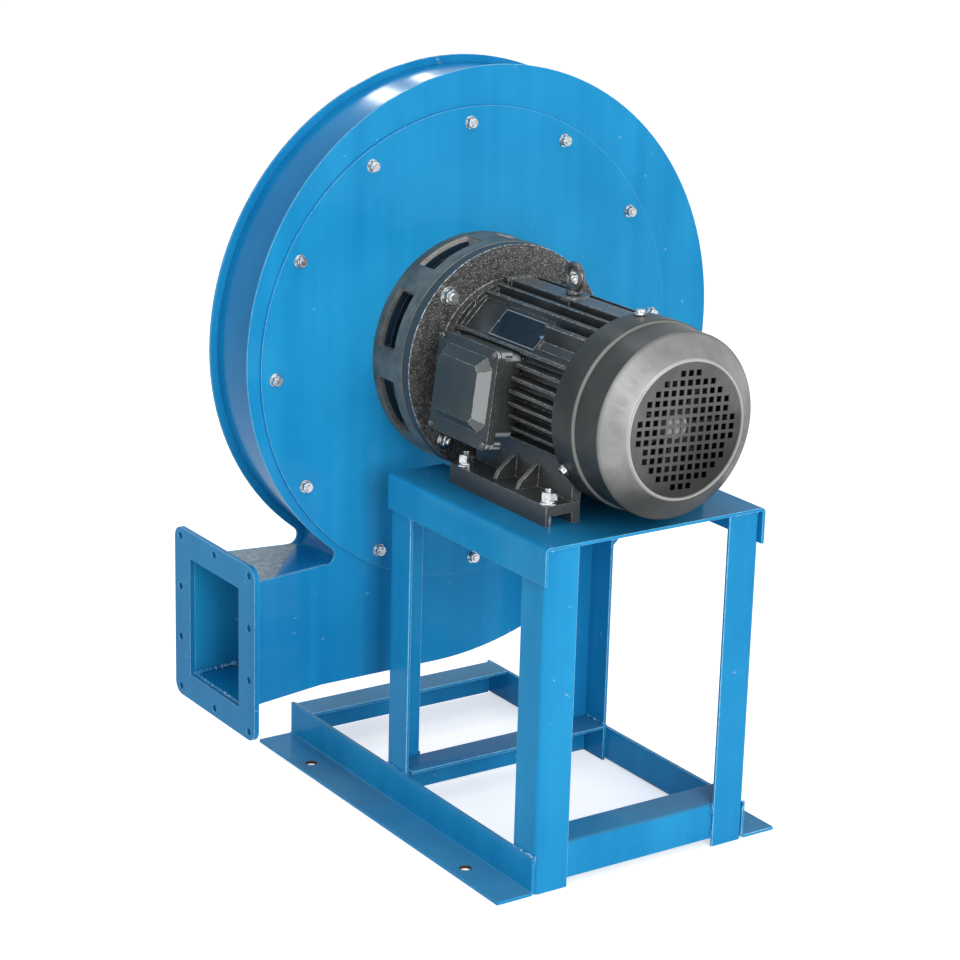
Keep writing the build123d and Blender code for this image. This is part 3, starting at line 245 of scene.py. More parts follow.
lamp("top_box", (-0.5, -0.4, 3.4), (0, 0, 0.5), 2.2, 1.8, watts=26)
lamp("left_box", (-3.4, -0.6, 1.5), (0, 0, 0.6), 1.8, 2.2, watts=8)
lamp("front_box", (-0.5, -3.6, 1.6), (0, 0, 0.6), 2.2, 2.2, watts=86)
lamp("wide_streak_box", (0.44, 2.0, 1.97), (-0.114, 0.154, 0.913), 0.22, 0.7, watts=9)
lamp("thin_streak_box", (0.86, 1.97, 1.74), (-0.055, 0.145, 0.932), 0.12, 0.6, watts=3)

# Blue enamel: welded sheet steel and angle, primed and sprayed thick, with a fine orange peel.
# It has small bright chips, and dust dulls it on the faces that look up. Painted shade darkens it low on
# the casing and on the motor plate's top.
# Rust shows in the four floor holes of the stand.
floor_hole_x = 0.195
floor_hole_y = 0.189
enamel = Finish("blue_enamel")
enamel_place = enamel.place()
enamel_x, enamel_y, height = enamel.axes(enamel_place)
peel = enamel.noise(300, 2, 0.5, enamel_place)
clouds = enamel.noise(5, 4, 0.6, enamel_place)
specks = enamel.noise(85, 2, 0.6, enamel_place)
chipped = specks.between(0.745, 0.765)
facing_up = enamel.facing()[2]
dusty = facing_up.between(0.35, 0.95) * (clouds.between(0.3, 0.75) * 0.6 + 0.4)
stretch = {"operation": "MULTIPLY"}
upright_runs = enamel.node("ShaderNodeVectorMath", stretch, {0: enamel_place, 1: (1.0, 1.0, 0.04)})
runs = enamel.noise(26, 3, 0.55, upright_runs)
shade = clouds.between(0.3, 0.7) * 0.55 + runs.between(0.3, 0.7) * 0.45
paint = enamel.mix(shade, srgb(24, 132, 187), srgb(38, 150, 203))
# Faces that look up take a greyish dust low down; higher, on the motor plate, the darker tone is painted
# shade under the motor.
dust_and_shade_tone = enamel.mix(height.between(0.10, 0.40), srgb(84, 114, 130), srgb(20, 74, 112))
paint = enamel.mix(dusty * 0.65, paint, dust_and_shade_tone)
# Painted shade: the casing plates are darker low down, most of all near the outlet duct.
on_mouth = 1 - enamel_x.between(-0.346, -0.344)
on_duct = 1 - enamel_x.between(-0.245, -0.225)
on_casing = enamel_y.between(0.116, 0.122).most(on_duct)
on_casing = on_casing * (1 - enamel_y.between(0.213, 0.215)).most(on_mouth)
painted_shade_low_casing = height.within(0.09, 0.12, 0.22, 0.44) * on_casing
painted_shade_low_casing = painted_shade_low_casing * (1 - enamel_x.between(-0.27, -0.18) * 0.8)
paint = enamel.mix(painted_shade_low_casing * 0.34, paint, srgb(12, 84, 140))
level_lines = enamel.node("ShaderNodeVectorMath", stretch, {0: enamel_place, 1: (0.35, 1.0, 2.2)})
scratched = enamel.noise(70, 2, 0.6, level_lines).between(0.765, 0.78)
paint = enamel.mix(scratched * 0.35, paint, srgb(176, 210, 226))


def distance(first, second):
    """How far a place is from an axis, from its two offsets."""
    return (first * first + second * second) ** 0.5


from_hole = distance(enamel_x.size() - floor_hole_x, enamel_y.size() - floor_hole_y)
rusty = 1 - from_hole.between(0.0074, 0.0090)
paint = enamel.mix(rusty, paint, srgb(74, 54, 40))
enamel.set(
    Base_Color=enamel.mix(chipped * 0.45, paint, srgb(170, 190, 200)),
    Roughness=clouds * 0.1 + dusty * 0.2 + 0.2,
    Specular_IOR_Level=0.03,
    Coat_Weight=0.1,
    Coat_Roughness=0.05,
    Normal=enamel.bump(peel, 0.0002, 0.3),
)
enamel_edge = Finish("blue_enamel_edge")
edge_place = enamel_edge.place()
edge_wear = enamel_edge.noise(160, 4, 0.7, edge_place)
edge_tone = enamel_edge.mix(edge_wear.between(0.35, 0.6), srgb(92, 178, 222), srgb(150, 208, 236))
enamel_edge.set(
    Base_Color=enamel_edge.mix(edge_wear.between(0.62, 0.70), edge_tone, srgb(214, 226, 230)),
    Roughness=edge_wear * 0.1 + 0.2,
)

# Base rails: angles laid with the wide flange outwards on the floor, two holes drilled in each.
# Like every sheet and angle here they have their sharp edges worn round, with lighter paint on them.
stand_body = "casing_and_stand"


def baked(piece):
    """Apply the modifiers of a piece for good."""
    bpy.context.view_layer.update()
    ready = piece.evaluated_get(bpy.context.evaluated_depsgraph_get())
    mesh = bpy.data.meshes.new_from_object(ready)
    piece.modifiers.clear()
    piece.data = mesh


def softened(name, finish, width, body=stand_body, crease=32, edge=None, clamp=True):
    """A copy of a solid with its sharp edges worn round, which stands for it in the picture.

    The worn edges can have a finish of their own. Without the clamp, short edges don't narrow the rest.
    """
    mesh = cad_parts[name].data.copy()
    if "custom_normal" in mesh.attributes:
        mesh.attributes.remove(mesh.attributes["custom_normal"])
    work = bmesh.new()
    work.from_mesh(mesh)
    touching = 2e-6
    flat = math.radians(0.5)
    bmesh.ops.remove_doubles(work, verts=work.verts, dist=touching)
    bmesh.ops.dissolve_limit(work, angle_limit=flat, verts=work.verts, edges=work.edges)
    work.to_mesh(mesh)
    work.free()
    mesh.materials.clear()
    mesh.materials.append(finish.material)
    mesh.shade_smooth()
    mesh.set_sharp_from_angle(angle=math.radians(crease))
    piece = bpy.data.objects.new(name + "_skin", mesh)
    scene.collection.objects.link(piece)
    wear = piece.modifiers.new("worn_edges", "BEVEL")
    if edge:
        mesh.materials.append(edge.material)
        wear.material = 1
    wear.width = width
    wear.segments = 2
    wear.limit_method = "ANGLE"
    wear.angle_limit = math.radians(crease)
    wear.use_clamp_overlap = clamp
    wear.harden_normals = True
    baked(piece)
    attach(piece, body)
    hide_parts(name)


def enamelled(*names, width):
    """Solids sprayed with the enamel, their worn edges lighter."""
    for name in names:
        softened(name, enamel, width=width, edge=enamel_edge)


angle_edge = 0.0007
enamelled("base_rail_left", "base_rail_right", width=angle_edge)

# Cross members: three angles, cut square and welded between the legs and the rails.
# All lie low, one at each pair of legs and one at the far end of the rails.
enamelled("front_cross_member", "middle_cross_member", "rear_cross_member", width=angle_edge)

# Legs: angles with the heel outwards, so that two flat faces meet at each corner of the stand.
# Their tops are cut to the bend of the motor plate.
enamelled("front_leg_left", "front_leg_right", "rear_leg_left", "rear_leg_right", width=angle_edge)

# Motor plate: one sheet with both sides bent down over the legs.
# It is notched under the motor's flange and drilled for the motor's feet.
folded_edge = 0.0009
enamelled("motor_plate", width=folded_edge)

# Welds: short hand-laid beads where the stand's pieces meet, painted over with the rest.
# Each path is a row of overlapping drops, a little uneven in size and place.
def new_tree(name, *wanted):
    """A node tree with geometry at both ends, and other inputs by label, kind and usual value."""
    tree = bpy.data.node_groups.new(name, "GeometryNodeTree")
    tree.interface.new_socket("Geometry", in_out="INPUT", socket_type="NodeSocketGeometry")
    for label, kind, value in wanted:
        socket = tree.interface.new_socket(label, in_out="INPUT", socket_type="NodeSocket" + kind)
        if value is not None:
            socket.default_value = value
    tree.interface.new_socket("Geometry", in_out="OUTPUT", socket_type="NodeSocketGeometry")
    return tree


def grow(tree, kind, links=None, **settings):
    """Add a node to a tree, with its settings and the values or links of its sockets."""
    made = tree.nodes.new(kind)
    for key, value in settings.items():
        setattr(made, key, value)
    for key, value in (links or {}).items():
        if isinstance(value, bpy.types.NodeSocket):
            tree.links.new(value, made.inputs[key])
        else:
            made.inputs[key].default_value = value
    return made


weld_tree = new_tree(
    "weld_beads", ("Drop radius", "Float", 0.003), ("Pitch", "Float", 0.003), ("Seed", "Int", 4),
    ("Paint", "Material", None),
)
weld_in = grow(weld_tree, "NodeGroupInput").outputs
path = grow(weld_tree, "GeometryNodeMeshToCurve", {"Mesh": weld_in["Geometry"]})
pitched = {"Curve": path.outputs[0], "Length": weld_in["Pitch"]}
stops = grow(weld_tree, "GeometryNodeResampleCurve", pitched, mode="LENGTH")
drop = grow(weld_tree, "GeometryNodeMeshUVSphere", {"Segments": 6, "Rings": 4, "Radius": 1.0})
low = grow(weld_tree, "ShaderNodeMath", {0: weld_in["Drop radius"], 1: 0.7}, operation="MULTIPLY")
high = grow(weld_tree, "ShaderNodeMath", {0: weld_in["Drop radius"], 1: 1.15}, operation="MULTIPLY")
size_range = {2: low.outputs[0], 3: high.outputs[0], "Seed": weld_in["Seed"]}
size = grow(weld_tree, "FunctionNodeRandomValue", size_range)
turn_seed = grow(weld_tree, "ShaderNodeMath", {0: weld_in["Seed"], 1: 7.0}, operation="ADD")
turn_range = {0: (-0.5, -0.5, -0.5), 1: (0.5, 0.5, 0.5), "Seed": turn_seed.outputs[0]}
turn = grow(weld_tree, "FunctionNodeRandomValue", turn_range, data_type="FLOAT_VECTOR")
drops = grow(weld_tree, "GeometryNodeInstanceOnPoints", {
    "Points": stops.outputs[0], "Instance": drop.outputs[0],
    "Rotation": turn.outputs[0], "Scale": size.outputs[1],
})
solid_drops = grow(weld_tree, "GeometryNodeRealizeInstances", {"Geometry": drops.outputs[0]})
smooth_drops = grow(weld_tree, "GeometryNodeSetShadeSmooth", {0: solid_drops.outputs[0]})
painting = {"Geometry": smooth_drops.outputs[0], "Material": weld_in["Paint"]}
painted_drops = grow(weld_tree, "GeometryNodeSetMaterial", painting)
grow(weld_tree, "NodeGroupOutput", {0: painted_drops.outputs[0]})
weld_paint = Finish("painted_weld")
weld_place = weld_paint.place()
scale = weld_paint.noise(420, 3, 0.6, weld_place)
weld_painted_glints = weld_paint.noise(120, 2, 0.5, weld_place)
# The pale flecks on the beads are painted highlights.
weld_paint.set(
    Base_Color=weld_paint.mix(weld_painted_glints.between(0.50, 0.66), srgb(24, 130, 188), srgb(150, 202, 226)),
    Roughness=0.2,
    Normal=weld_paint.bump(scale, 0.0006, 0.6),
)
drop_overlap = 0.95


def fed(piece, tree, **values):
    """Put a node tree on a piece, with its inputs given by name, and bake the result."""
    step = piece.modifiers.new(tree.name, "NODES")
    step.node_group = tree
    for item in tree.interface.items_tree:
        key = item.name.replace(" ", "_")
        if item.in_out == "INPUT" and key in values:
            step[item.identifier] = values[key]
    baked(piece)


def weld(name, paths, radius, seed, finish=weld_paint):
    """Weld beads along rows of points, each row a list of places in metres."""
    mesh = bpy.data.meshes.new(name)
    points = [point for row in paths for point in row]
    edges = []
    start = 0
    for row in paths:
        edges += [(start + i, start + i + 1) for i in range(len(row) - 1)]
        start += len(row)
    mesh.from_pydata(points, edges, [])
    piece = bpy.data.objects.new(name, mesh)
    scene.collection.objects.link(piece)
    fed(
        piece, weld_tree, Drop_radius=radius, Pitch=radius * drop_overlap, Seed=seed,
        Paint=finish.material,
    )
    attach(piece, stand_body)


leg_x = 0.161
leg_toe = 0.113
plate_under = 0.442
front_leg = -0.290
rear_leg = 0.053
rail_top = 0.049
rail_end = 0.2932
stand_welds = []
for side in (-1, 1):
    heel = side * leg_x
    toe = side * leg_toe
    corner = heel + side * 0.0005
    outside = heel + side * 0.001
    leg_face = heel - side * 0.001
    inside = heel - side * 0.004
    front_face = front_leg - 0.0008
    front_toe = front_leg + 0.0035
    rear_toe = rear_leg - 0.0045
    stand_welds += [
        [(heel - side * 0.006, front_face, plate_under - 0.0005),
         (toe + side * 0.008, front_face, plate_under - 0.0005)],
        [(corner, front_leg + 0.002, 0.040), (corner, front_leg + 0.0005, 0.051)],
        [(outside, front_leg + 0.004, rail_top), (outside, front_leg + 0.046, rail_top)],
        [(outside, rear_leg - 0.046, rail_top), (outside, rear_leg - 0.002, rail_top)],
        [(toe, front_toe, 0.012), (toe, front_toe, 0.022)],
        [(toe, front_toe, 0.044), (toe, front_toe, 0.057)],
        [(inside, front_leg + 0.010, 0.0585), (inside, front_leg + 0.044, 0.0585)],
        [(toe, rear_toe, 0.030), (toe, rear_toe, 0.054)],
        [(inside, rear_leg - 0.046, 0.0535), (inside, rear_leg - 0.010, 0.0535)],
        [(heel, 0.246, 0.0475), (heel, 0.292, 0.0475)],
        [(heel, rail_end, 0.010), (heel, rail_end, 0.046)],
        [(leg_face, rear_leg - 0.012, 0.415), (leg_face, rear_leg - 0.012, 0.440)],
    ]
weld("stand_welds", stand_welds, radius=0.0021, seed=5)

# Volute: two flat side plates and a strip bent round between them, welded along both seams.
# The plates stand 10 mm out past the strip, and flare apart along the outlet duct.
# The strip's paint has come off the duct's roof near the mouth.
plate_edge = 0.0008
enamelled("volute_back_plate", "volute_front_plate", width=plate_edge)
wrap_paint = Finish("wrapper_enamel")
wrap_place = wrap_paint.place()
wrap_peel = wrap_paint.noise(300, 2, 0.5, wrap_place)
wrap_clouds = wrap_paint.noise(6, 4, 0.6, wrap_place)
across_x, along_y, height_z = wrap_paint.axes(wrap_place)
ragged = wrap_paint.noise(20, 3, 0.55, wrap_place) * 0.015
slant = 0.87
near_mouth = 1 - (across_x - along_y * slant + ragged).between(-0.388, -0.384)
on_roof = height_z.within(0.3045, 0.3065, 0.3125, 0.3145)
bare = near_mouth * on_roof
# The strip's blue is darker than the side plates' enamel of the same paint: painted shade.
wrap_blue_shaded = wrap_paint.mix(wrap_clouds.between(0.3, 0.7), srgb(14, 114, 172), srgb(22, 128, 186))
scuffs_and_highlights = wrap_paint.noise(110, 5, 0.7, wrap_place)
bare_tone_and_highlights = wrap_paint.mix(scuffs_and_highlights.between(0.35, 0.65), srgb(108, 128, 134), srgb(148, 164, 166))
# The near-white flecks on the bare metal are painted highlights.
bare_tone_and_highlights = wrap_paint.mix(scuffs_and_highlights.between(0.64, 0.70), bare_tone_and_highlights, srgb(226, 232, 228))
wrap_paint.set(
    Base_Color=wrap_paint.mix(bare * 0.92, wrap_blue_shaded, bare_tone_and_highlights),
    Roughness=wrap_clouds * 0.08 + bare * 0.25 + 0.18,
    Specular_IOR_Level=0.05,
    Coat_Weight=0.12,
    Coat_Roughness=0.12,
    Normal=wrap_paint.bump(wrap_peel, 0.0002, 0.25),
)
softened("volute_wrapper", wrap_paint, width=0.0005, edge=enamel_edge)


def arc_row(centre_x, centre_z, radius, start, end, y, steps=40):
    """Places along an arc of the casing, with angles in degrees from +X towards +Z."""
    row = []
    for i in range(steps + 1):
        angle = math.radians(start + (end - start) * i / steps)
        row.append((centre_x + radius * math.cos(angle), y, centre_z + radius * math.sin(angle)))
    return row


shaft_height = 0.578
overhang = 0.010
lift = 0.0006 - overhang
upper_middle = shaft_height + 0.0075
seam_rows = []
for seam_y in (0.1256, 0.2174):
    seam_rows.append(
        arc_row(-0.0445, shaft_height, 0.433 + lift, -90, 0, seam_y)
        + arc_row(0.025, shaft_height, 0.3635 + lift, 0, 90, seam_y)
        + arc_row(0.025, upper_middle, 0.356 + lift, 90, 180, seam_y)
        + arc_row(-0.009, upper_middle, 0.322 + lift, 180, 236, seam_y)
    )
    seam_rows.append([(-0.0445, seam_y, 0.1544), (-0.216, seam_y, 0.1544)])
weld("volute_seams", seam_rows, radius=0.0011, seed=11, finish=enamel)

# Outlet flange: a frame of flat bar with rounded corners and ten holes, welded round the duct's mouth.
# Inside, the beads are left lumpy along the floor and the far wall.
enamelled("outlet_flange", width=folded_edge)
mouth_low = shaft_height - 0.435
mouth_high = shaft_height - 0.268
duct_sheet = 0.003
mouth_near = 0.106 - duct_sheet
mouth_far = 0.237 + duct_sheet
flange_back_x = -0.3442
near_bead = mouth_near - 0.001
far_bead = mouth_far + 0.001
duct_welds = [
    [(flange_back_x, near_bead, mouth_low), (flange_back_x, near_bead, mouth_high),
     (flange_back_x, far_bead, mouth_high), (flange_back_x, far_bead, mouth_low),
     (flange_back_x, near_bead, mouth_low)],
    [(-0.3455, 0.1075, mouth_low + 0.0040), (-0.3455, 0.2355, mouth_low + 0.0040)],
]
weld("duct_welds", duct_welds, radius=0.0023, seed=17)
duct_corner = [[(-0.345, 0.2345, mouth_low + 0.0050), (-0.245, 0.2215, mouth_low + 0.0150)]]
weld("duct_corner_weld", duct_corner, radius=0.0042, seed=29)

# Casing cover: a flat round plate that closes the big opening and carries the motor.
# With its bolts out, it comes away with the motor and the impeller.
enamelled("casing_cover", width=plate_edge)

# Cover bolts: twelve zinc plated bolts with washers through the cover, into nuts welded behind the plate.
# The bolt is modelled once, on the shaft's level, and set round the cover by the ring of bolts.
ring_tree = new_tree(
    "ring_of_fasteners", ("Count", "Int", 12), ("Circle", "Float", 0.1), ("Start", "Float", 0.0),
    ("Middle", "Vector", (0.0, 0.0, 0.0)), ("Loose turn", "Float", 0.5), ("Seed", "Int", 3),
    ("Plating", "Material", None),
)
ring_in = grow(ring_tree, "NodeGroupInput").outputs
row_points = grow(ring_tree, "GeometryNodePoints", {"Count": ring_in["Count"]})
number = grow(ring_tree, "GeometryNodeInputIndex").outputs[0]
share = grow(ring_tree, "ShaderNodeMath", {0: number, 1: ring_in["Count"]}, operation="DIVIDE")
angle_sum = {0: share.outputs[0], 1: math.tau, 2: ring_in["Start"]}
angle = grow(ring_tree, "ShaderNodeMath", angle_sum, operation="MULTIPLY_ADD")
cosine = grow(ring_tree, "ShaderNodeMath", {0: angle.outputs[0]}, operation="COSINE")
sine = grow(ring_tree, "ShaderNodeMath", {0: angle.outputs[0]}, operation="SINE")
round_place = grow(ring_tree, "ShaderNodeCombineXYZ", {0: cosine.outputs[0], 2: sine.outputs[0]})
from_middle = grow(
    ring_tree, "ShaderNodeVectorMath",
    {0: round_place.outputs[0], 1: ring_in["Circle"], 2: ring_in["Middle"]}, operation="MULTIPLY_ADD",
)
bolt_places = {"Geometry": row_points.outputs[0], "Position": from_middle.outputs[0]}
bolt_points = grow(ring_tree, "GeometryNodeSetPosition", bolt_places)
loose_range = {2: 0.0, 3: ring_in["Loose turn"], "Seed": ring_in["Seed"]}
loose = grow(ring_tree, "FunctionNodeRandomValue", loose_range)
turn_back = {0: loose.outputs[1], 1: angle.outputs[0]}
loose_turn = grow(ring_tree, "ShaderNodeMath", turn_back, operation="SUBTRACT")
bolt_turn = grow(ring_tree, "ShaderNodeCombineXYZ", {1: loose_turn.outputs[0]})
bolt_copies = grow(
    ring_tree, "GeometryNodeInstanceOnPoints",
    {"Points": bolt_points.outputs[0], "Instance": ring_in["Geometry"], "Rotation": bolt_turn.outputs[0]},
)
solid_bolts = grow(ring_tree, "GeometryNodeRealizeInstances", {"Geometry": bolt_copies.outputs[0]})
plating = {"Geometry": solid_bolts.outputs[0], "Material": ring_in["Plating"]}
plated = grow(ring_tree, "GeometryNodeSetMaterial", plating)
grow(ring_tree, "NodeGroupOutput", {0: plated.outputs[0]})
round_crease = math.radians(32)


def spun(work, rings, steps=24):
    """A closed form about the Y axis from rings of (radius, y).

    A ring marked "hex" has six flats, whose corners a fourth value limits.
    """
    loops = []
    for ring in rings:
        loop = []
        for i in range(steps):
            turn = math.tau * i / steps
            radius = ring[0]
            if len(ring) > 2:
                off_flat = (turn + math.pi / 6) % (math.pi / 3) - math.pi / 6
                radius = ring[0] / math.cos(off_flat)
            if len(ring) > 3:
                radius = min(radius, ring[3])
            loop.append(work.verts.new((radius * math.cos(turn), ring[1], radius * math.sin(turn))))
        loops.append(loop)
    for first, second in zip(loops, loops[1:]):
        for i in range(steps):
            j = (i + 1) % steps
            work.faces.new((first[i], first[j], second[j], second[i]))
    work.faces.new(loops[0])
    work.faces.new(reversed(loops[-1]))


def fastener(name, *forms):
    """A mesh of separate turned forms, smooth on its round sides."""
    work = bmesh.new()
    for rings in forms:
        spun(work, rings)
    bmesh.ops.recalc_face_normals(work, faces=work.faces)
    mesh = bpy.data.meshes.new(name)
    work.to_mesh(mesh)
    work.free()
    mesh.shade_smooth()
    mesh.set_sharp_from_angle(angle=round_crease)
    return mesh


def hexagon(across, y0, y1, chamfer):
    """A hexagon with its corners turned off at the end y1."""
    apothem = across / 2
    tall = y1 - y0
    bevel = math.copysign(chamfer, tall)
    return [
        (apothem, y0, "hex"),
        (apothem, y1 - bevel, "hex"),
        (apothem, y1 - bevel * 0.45, "hex", apothem * 1.07),
        (apothem, y1, "hex", apothem * 0.97),
        (apothem * 0.82, y1),
    ]


def round_plate(radius, y0, y1, edge):
    """A washer or bar end with a small chamfer at both faces."""
    edge = math.copysign(edge, y1 - y0)
    return [(radius - abs(edge), y0), (radius, y0 + edge), (radius, y1 - edge), (radius - abs(edge), y1)]


def threaded(radius, y0, y1, pitch):
    """A threaded stud end: rings that step in and out by the depth of the thread."""
    rings = [(radius, y0)]
    turns = max(int(abs(y1 - y0) / pitch), 1)
    step = (y1 - y0) / turns
    for i in range(turns):
        rings += [(radius, y0 + step * (i + 0.2)), (radius - pitch * 0.45, y0 + step * (i + 0.7))]
    return rings + [(radius - pitch * 0.5, y1)]


zinc = Finish("zinc_steel")
zinc_place = zinc.place()
spangle = zinc.noise(260, 3, 0.6, zinc_place)
tarnish = zinc.noise(60, 3, 0.6, zinc_place)
zinc_tone = zinc.mix(spangle.between(0.35, 0.65), srgb(172, 175, 176), srgb(216, 219, 220))
zinc.set(
    Base_Color=zinc.mix(tarnish.between(0.6, 0.8) * 0.5, zinc_tone, srgb(140, 134, 120)),
    Metallic=1.0,
    Roughness=spangle * 0.2 + 0.16,
    Normal=zinc.bump(spangle, 0.0002, 0.4),
)


def ring_of(name, mesh, node, count, circle, start, y, loose=0.8, seed=3):
    """Set a zinc plated fastener round the shaft, and let the ring stand for its node."""
    piece = bpy.data.objects.new(name, mesh)
    scene.collection.objects.link(piece)
    fed(
        piece, ring_tree, Count=count, Circle=circle, Start=math.radians(start),
        Middle=(0.0, y, shaft_height), Loose_turn=loose, Seed=seed, Plating=zinc.material,
    )
    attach(piece, stand_body)
    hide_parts(node)


cover_back = 0.118
washer_edge = 0.0004
small_head = 0.013
small_shank = 0.004
small_chamfer = 0.0012
case_bolt = fastener(
    "case_bolt",
    round_plate(0.0086, 0.0, -0.0016, washer_edge),
    round_plate(0.0068, -0.0016, -0.0032, washer_edge),
    hexagon(small_head, -0.0032, -0.0082, small_chamfer),
    threaded(small_shank, -0.0070, -0.0098, pitch=0.0010),
    [(small_shank, -0.001), (small_shank, 0.017)],
    hexagon(small_head, 0.007, 0.014, small_chamfer),
)
ring_of("cover_bolt_ring", case_bolt, "cover_bolts", count=12, circle=0.293, start=2.0, y=cover_back)

# Spacer ring: a dark cast ring between the motor's flange and the cover, turned smooth outside.
# Its eight slots are left rough and dusty inside, paler near the top; deeper in, painted dark blue shade
# stands for the cover seen beyond the slot.
spacer_iron = Finish("spacer_iron")
spacer_place = spacer_iron.place()
spacer_x, spacer_y, spacer_z = spacer_iron.axes(spacer_place)
spacer_z = spacer_z - shaft_height
spacer_out = distance(spacer_x, spacer_z)
skin = spacer_out.between(0.1496, 0.1504)
# Painted shade: deep in the slots the wall takes the dark blue of the shaded cover.
slot_depth_painted_shade = spacer_y.between(0.1005, 0.1035) * (1 - spacer_out.between(0.1431, 0.1439))
cast = spacer_iron.noise(190, 5, 0.7, spacer_place)
smears = spacer_iron.noise(24, 4, 0.6, spacer_place)
slate = spacer_iron.mix(smears.between(0.35, 0.7), srgb(76, 82, 80), srgb(110, 116, 113))
low_wall = spacer_iron.mix(cast.between(0.3, 0.7), srgb(80, 80, 81), srgb(108, 106, 104))
high_wall = spacer_iron.mix(cast.between(0.3, 0.7), srgb(142, 137, 133), srgb(186, 181, 176))
rough_wall = spacer_iron.mix(spacer_z.between(0.075, 0.105), low_wall, high_wall)
spacer_iron.set(
    Base_Color=spacer_iron.mix(slot_depth_painted_shade, spacer_iron.mix(skin, rough_wall, slate), srgb(8, 44, 64)),
    Metallic=0.15,
    Roughness=0.55 - skin * 0.12 + smears * 0.1,
    Normal=spacer_iron.bump(cast * (1.4 - skin), 0.0007, 0.5),
)
ring_edge = Finish("worn_ring_edge")
ring_wear = ring_edge.noise(240, 4, 0.7, ring_edge.place())
ring_edge.set(
    Base_Color=ring_edge.mix(ring_wear.between(0.4, 0.6), srgb(92, 96, 98), srgb(158, 160, 160)),
    Metallic=0.3,
    Roughness=0.35,
)
softened("spacer_ring", spacer_iron, width=0.0012, edge=ring_edge)
softened("hub_seal_ring", spacer_iron, width=0.0006)

# Spacer screws: eight hexagon heads inside the casing, which hold the ring to the cover.
# The seal ring has four smaller screws of its own, with their heads towards the motor.
spacer_screw = fastener(
    "spacer_screw",
    [(0.005, -0.011), (0.005, 0.0045)],
    hexagon(0.016, 0.004, 0.010, chamfer=0.0015),
)
ring_of(
    "spacer_screw_ring", spacer_screw, "spacer_screws", count=8, circle=0.132, start=0.0, y=cover_back,
)
seal_screw = fastener(
    "seal_screw",
    hexagon(0.010, -0.004, -0.008, chamfer=0.001),
    [(0.003, -0.005), (0.003, 0.005)],
)
ring_of("seal_screw_ring", seal_screw, "seal_screws", count=4, circle=0.070, start=45.0, y=cover_back)

# Drive end shield: the motor's flange, cast with a coarse sandy skin under thin black paint.
# Its rim is turned smooth, and its edges have rubbed bright.
flange_iron = Finish("flange_iron")
flange_place = flange_iron.place()
grit = flange_iron.noise(520, 2, 0.6, flange_place)
lumps = flange_iron.noise(110, 3, 0.6, flange_place)
glint = grit.between(0.54, 0.66)
flange_x, _, flange_z = flange_iron.axes(flange_place)
turned = distance(flange_x, flange_z - shaft_height).between(0.1484, 0.1492)
flange_tone = flange_iron.mix(lumps.between(0.35, 0.65), srgb(48, 49, 49), srgb(76, 77, 76))
# The bright specks in the cast skin are painted glints.
flange_tone = flange_iron.mix(glint * 0.46, flange_tone, srgb(196, 196, 192))
flange_iron.set(
    Base_Color=flange_iron.mix(turned, flange_tone, srgb(66, 72, 76)),
    Metallic=0.2,
    Roughness=0.46 - glint * 0.2,
    Normal=flange_iron.bump((grit * 0.8 + lumps * 0.6) * (1 - turned), 0.003, 1.0),
)
iron_edge = Finish("worn_iron_edge")
iron_wear = iron_edge.noise(240, 4, 0.7, iron_edge.place())
iron_edge.set(
    Base_Color=iron_edge.mix(iron_wear.between(0.42, 0.62), srgb(76, 78, 78), srgb(176, 178, 176)),
    Metallic=0.3,
    Roughness=0.35,
)
softened("drive_end_shield", flange_iron, width=0.0010, edge=iron_edge)

# Motor frame: one iron casting with long cooling fins, the eyebolt's rib, feet and the nameplate's pad.
# The fins' outer edges are lighter, partly rubbed paint and partly painted highlight, and the sloping
# faces of the feet's webs carry painted highlight.
black = Finish("black_paint")
black_place = black.place()
cast_grain = black.noise(380, 4, 0.65, black_place)
dust = black.noise(14, 4, 0.6, black_place)
black_x, _, black_z = black.axes(black_place)
black_z = black_z - shaft_height
# Painted highlight: the fin edges, in part also rubbed, and the feet's upward sloping webs are lighter.
fin_edge = distance(black_x, black_z).within(0.1115, 0.1128, 0.1135, 0.1145)
rubbed_and_highlit_fin_edges = fin_edge * cast_grain.between(0.48, 0.66)
black_tone = black.mix(dust.between(0.35, 0.75), srgb(39, 42, 43), srgb(62, 65, 66))
on_feet = 1 - black_z.between(-0.098, -0.085)
web_painted_highlight = black.facing()[2].within(0.25, 0.4, 0.86, 0.94) * (1 - black_z.between(-0.075, -0.065))
black_tone = black.mix(on_feet * 0.6, black_tone, srgb(72, 74, 74))
on_rib = black_z.between(0.108, 0.111) * black_x.within(-0.021, -0.019, 0.019, 0.021)
rib_tone = black.mix(cast_grain.between(0.4, 0.6), srgb(74, 76, 76), srgb(118, 120, 120))
black_tone = black.mix(on_rib * 0.5, black_tone, rib_tone)
black.set(
    Base_Color=black.mix((rubbed_and_highlit_fin_edges * 0.5).most(web_painted_highlight * 0.6), black_tone, srgb(140, 140, 134)),
    Roughness=dust * 0.18 + 0.26,
    Normal=black.bump(cast_grain, 0.0005, 0.5),
)
softened("motor_frame", black, width=0.0005, edge=iron_edge, clamp=False)
softened("rear_shield", black, width=0.0008, edge=iron_edge)

# Terminal box: cast iron, with a raised cover on a thin gasket and a screw at each corner.
# The cover's sloping side towards the cowl is painted lighter: a painted highlight.
box_paint = Finish("terminal_box_paint")
box_place = box_paint.place()
box_grain = box_paint.noise(520, 3, 0.6, box_place)
box_dust = box_paint.noise(20, 4, 0.6, box_place)
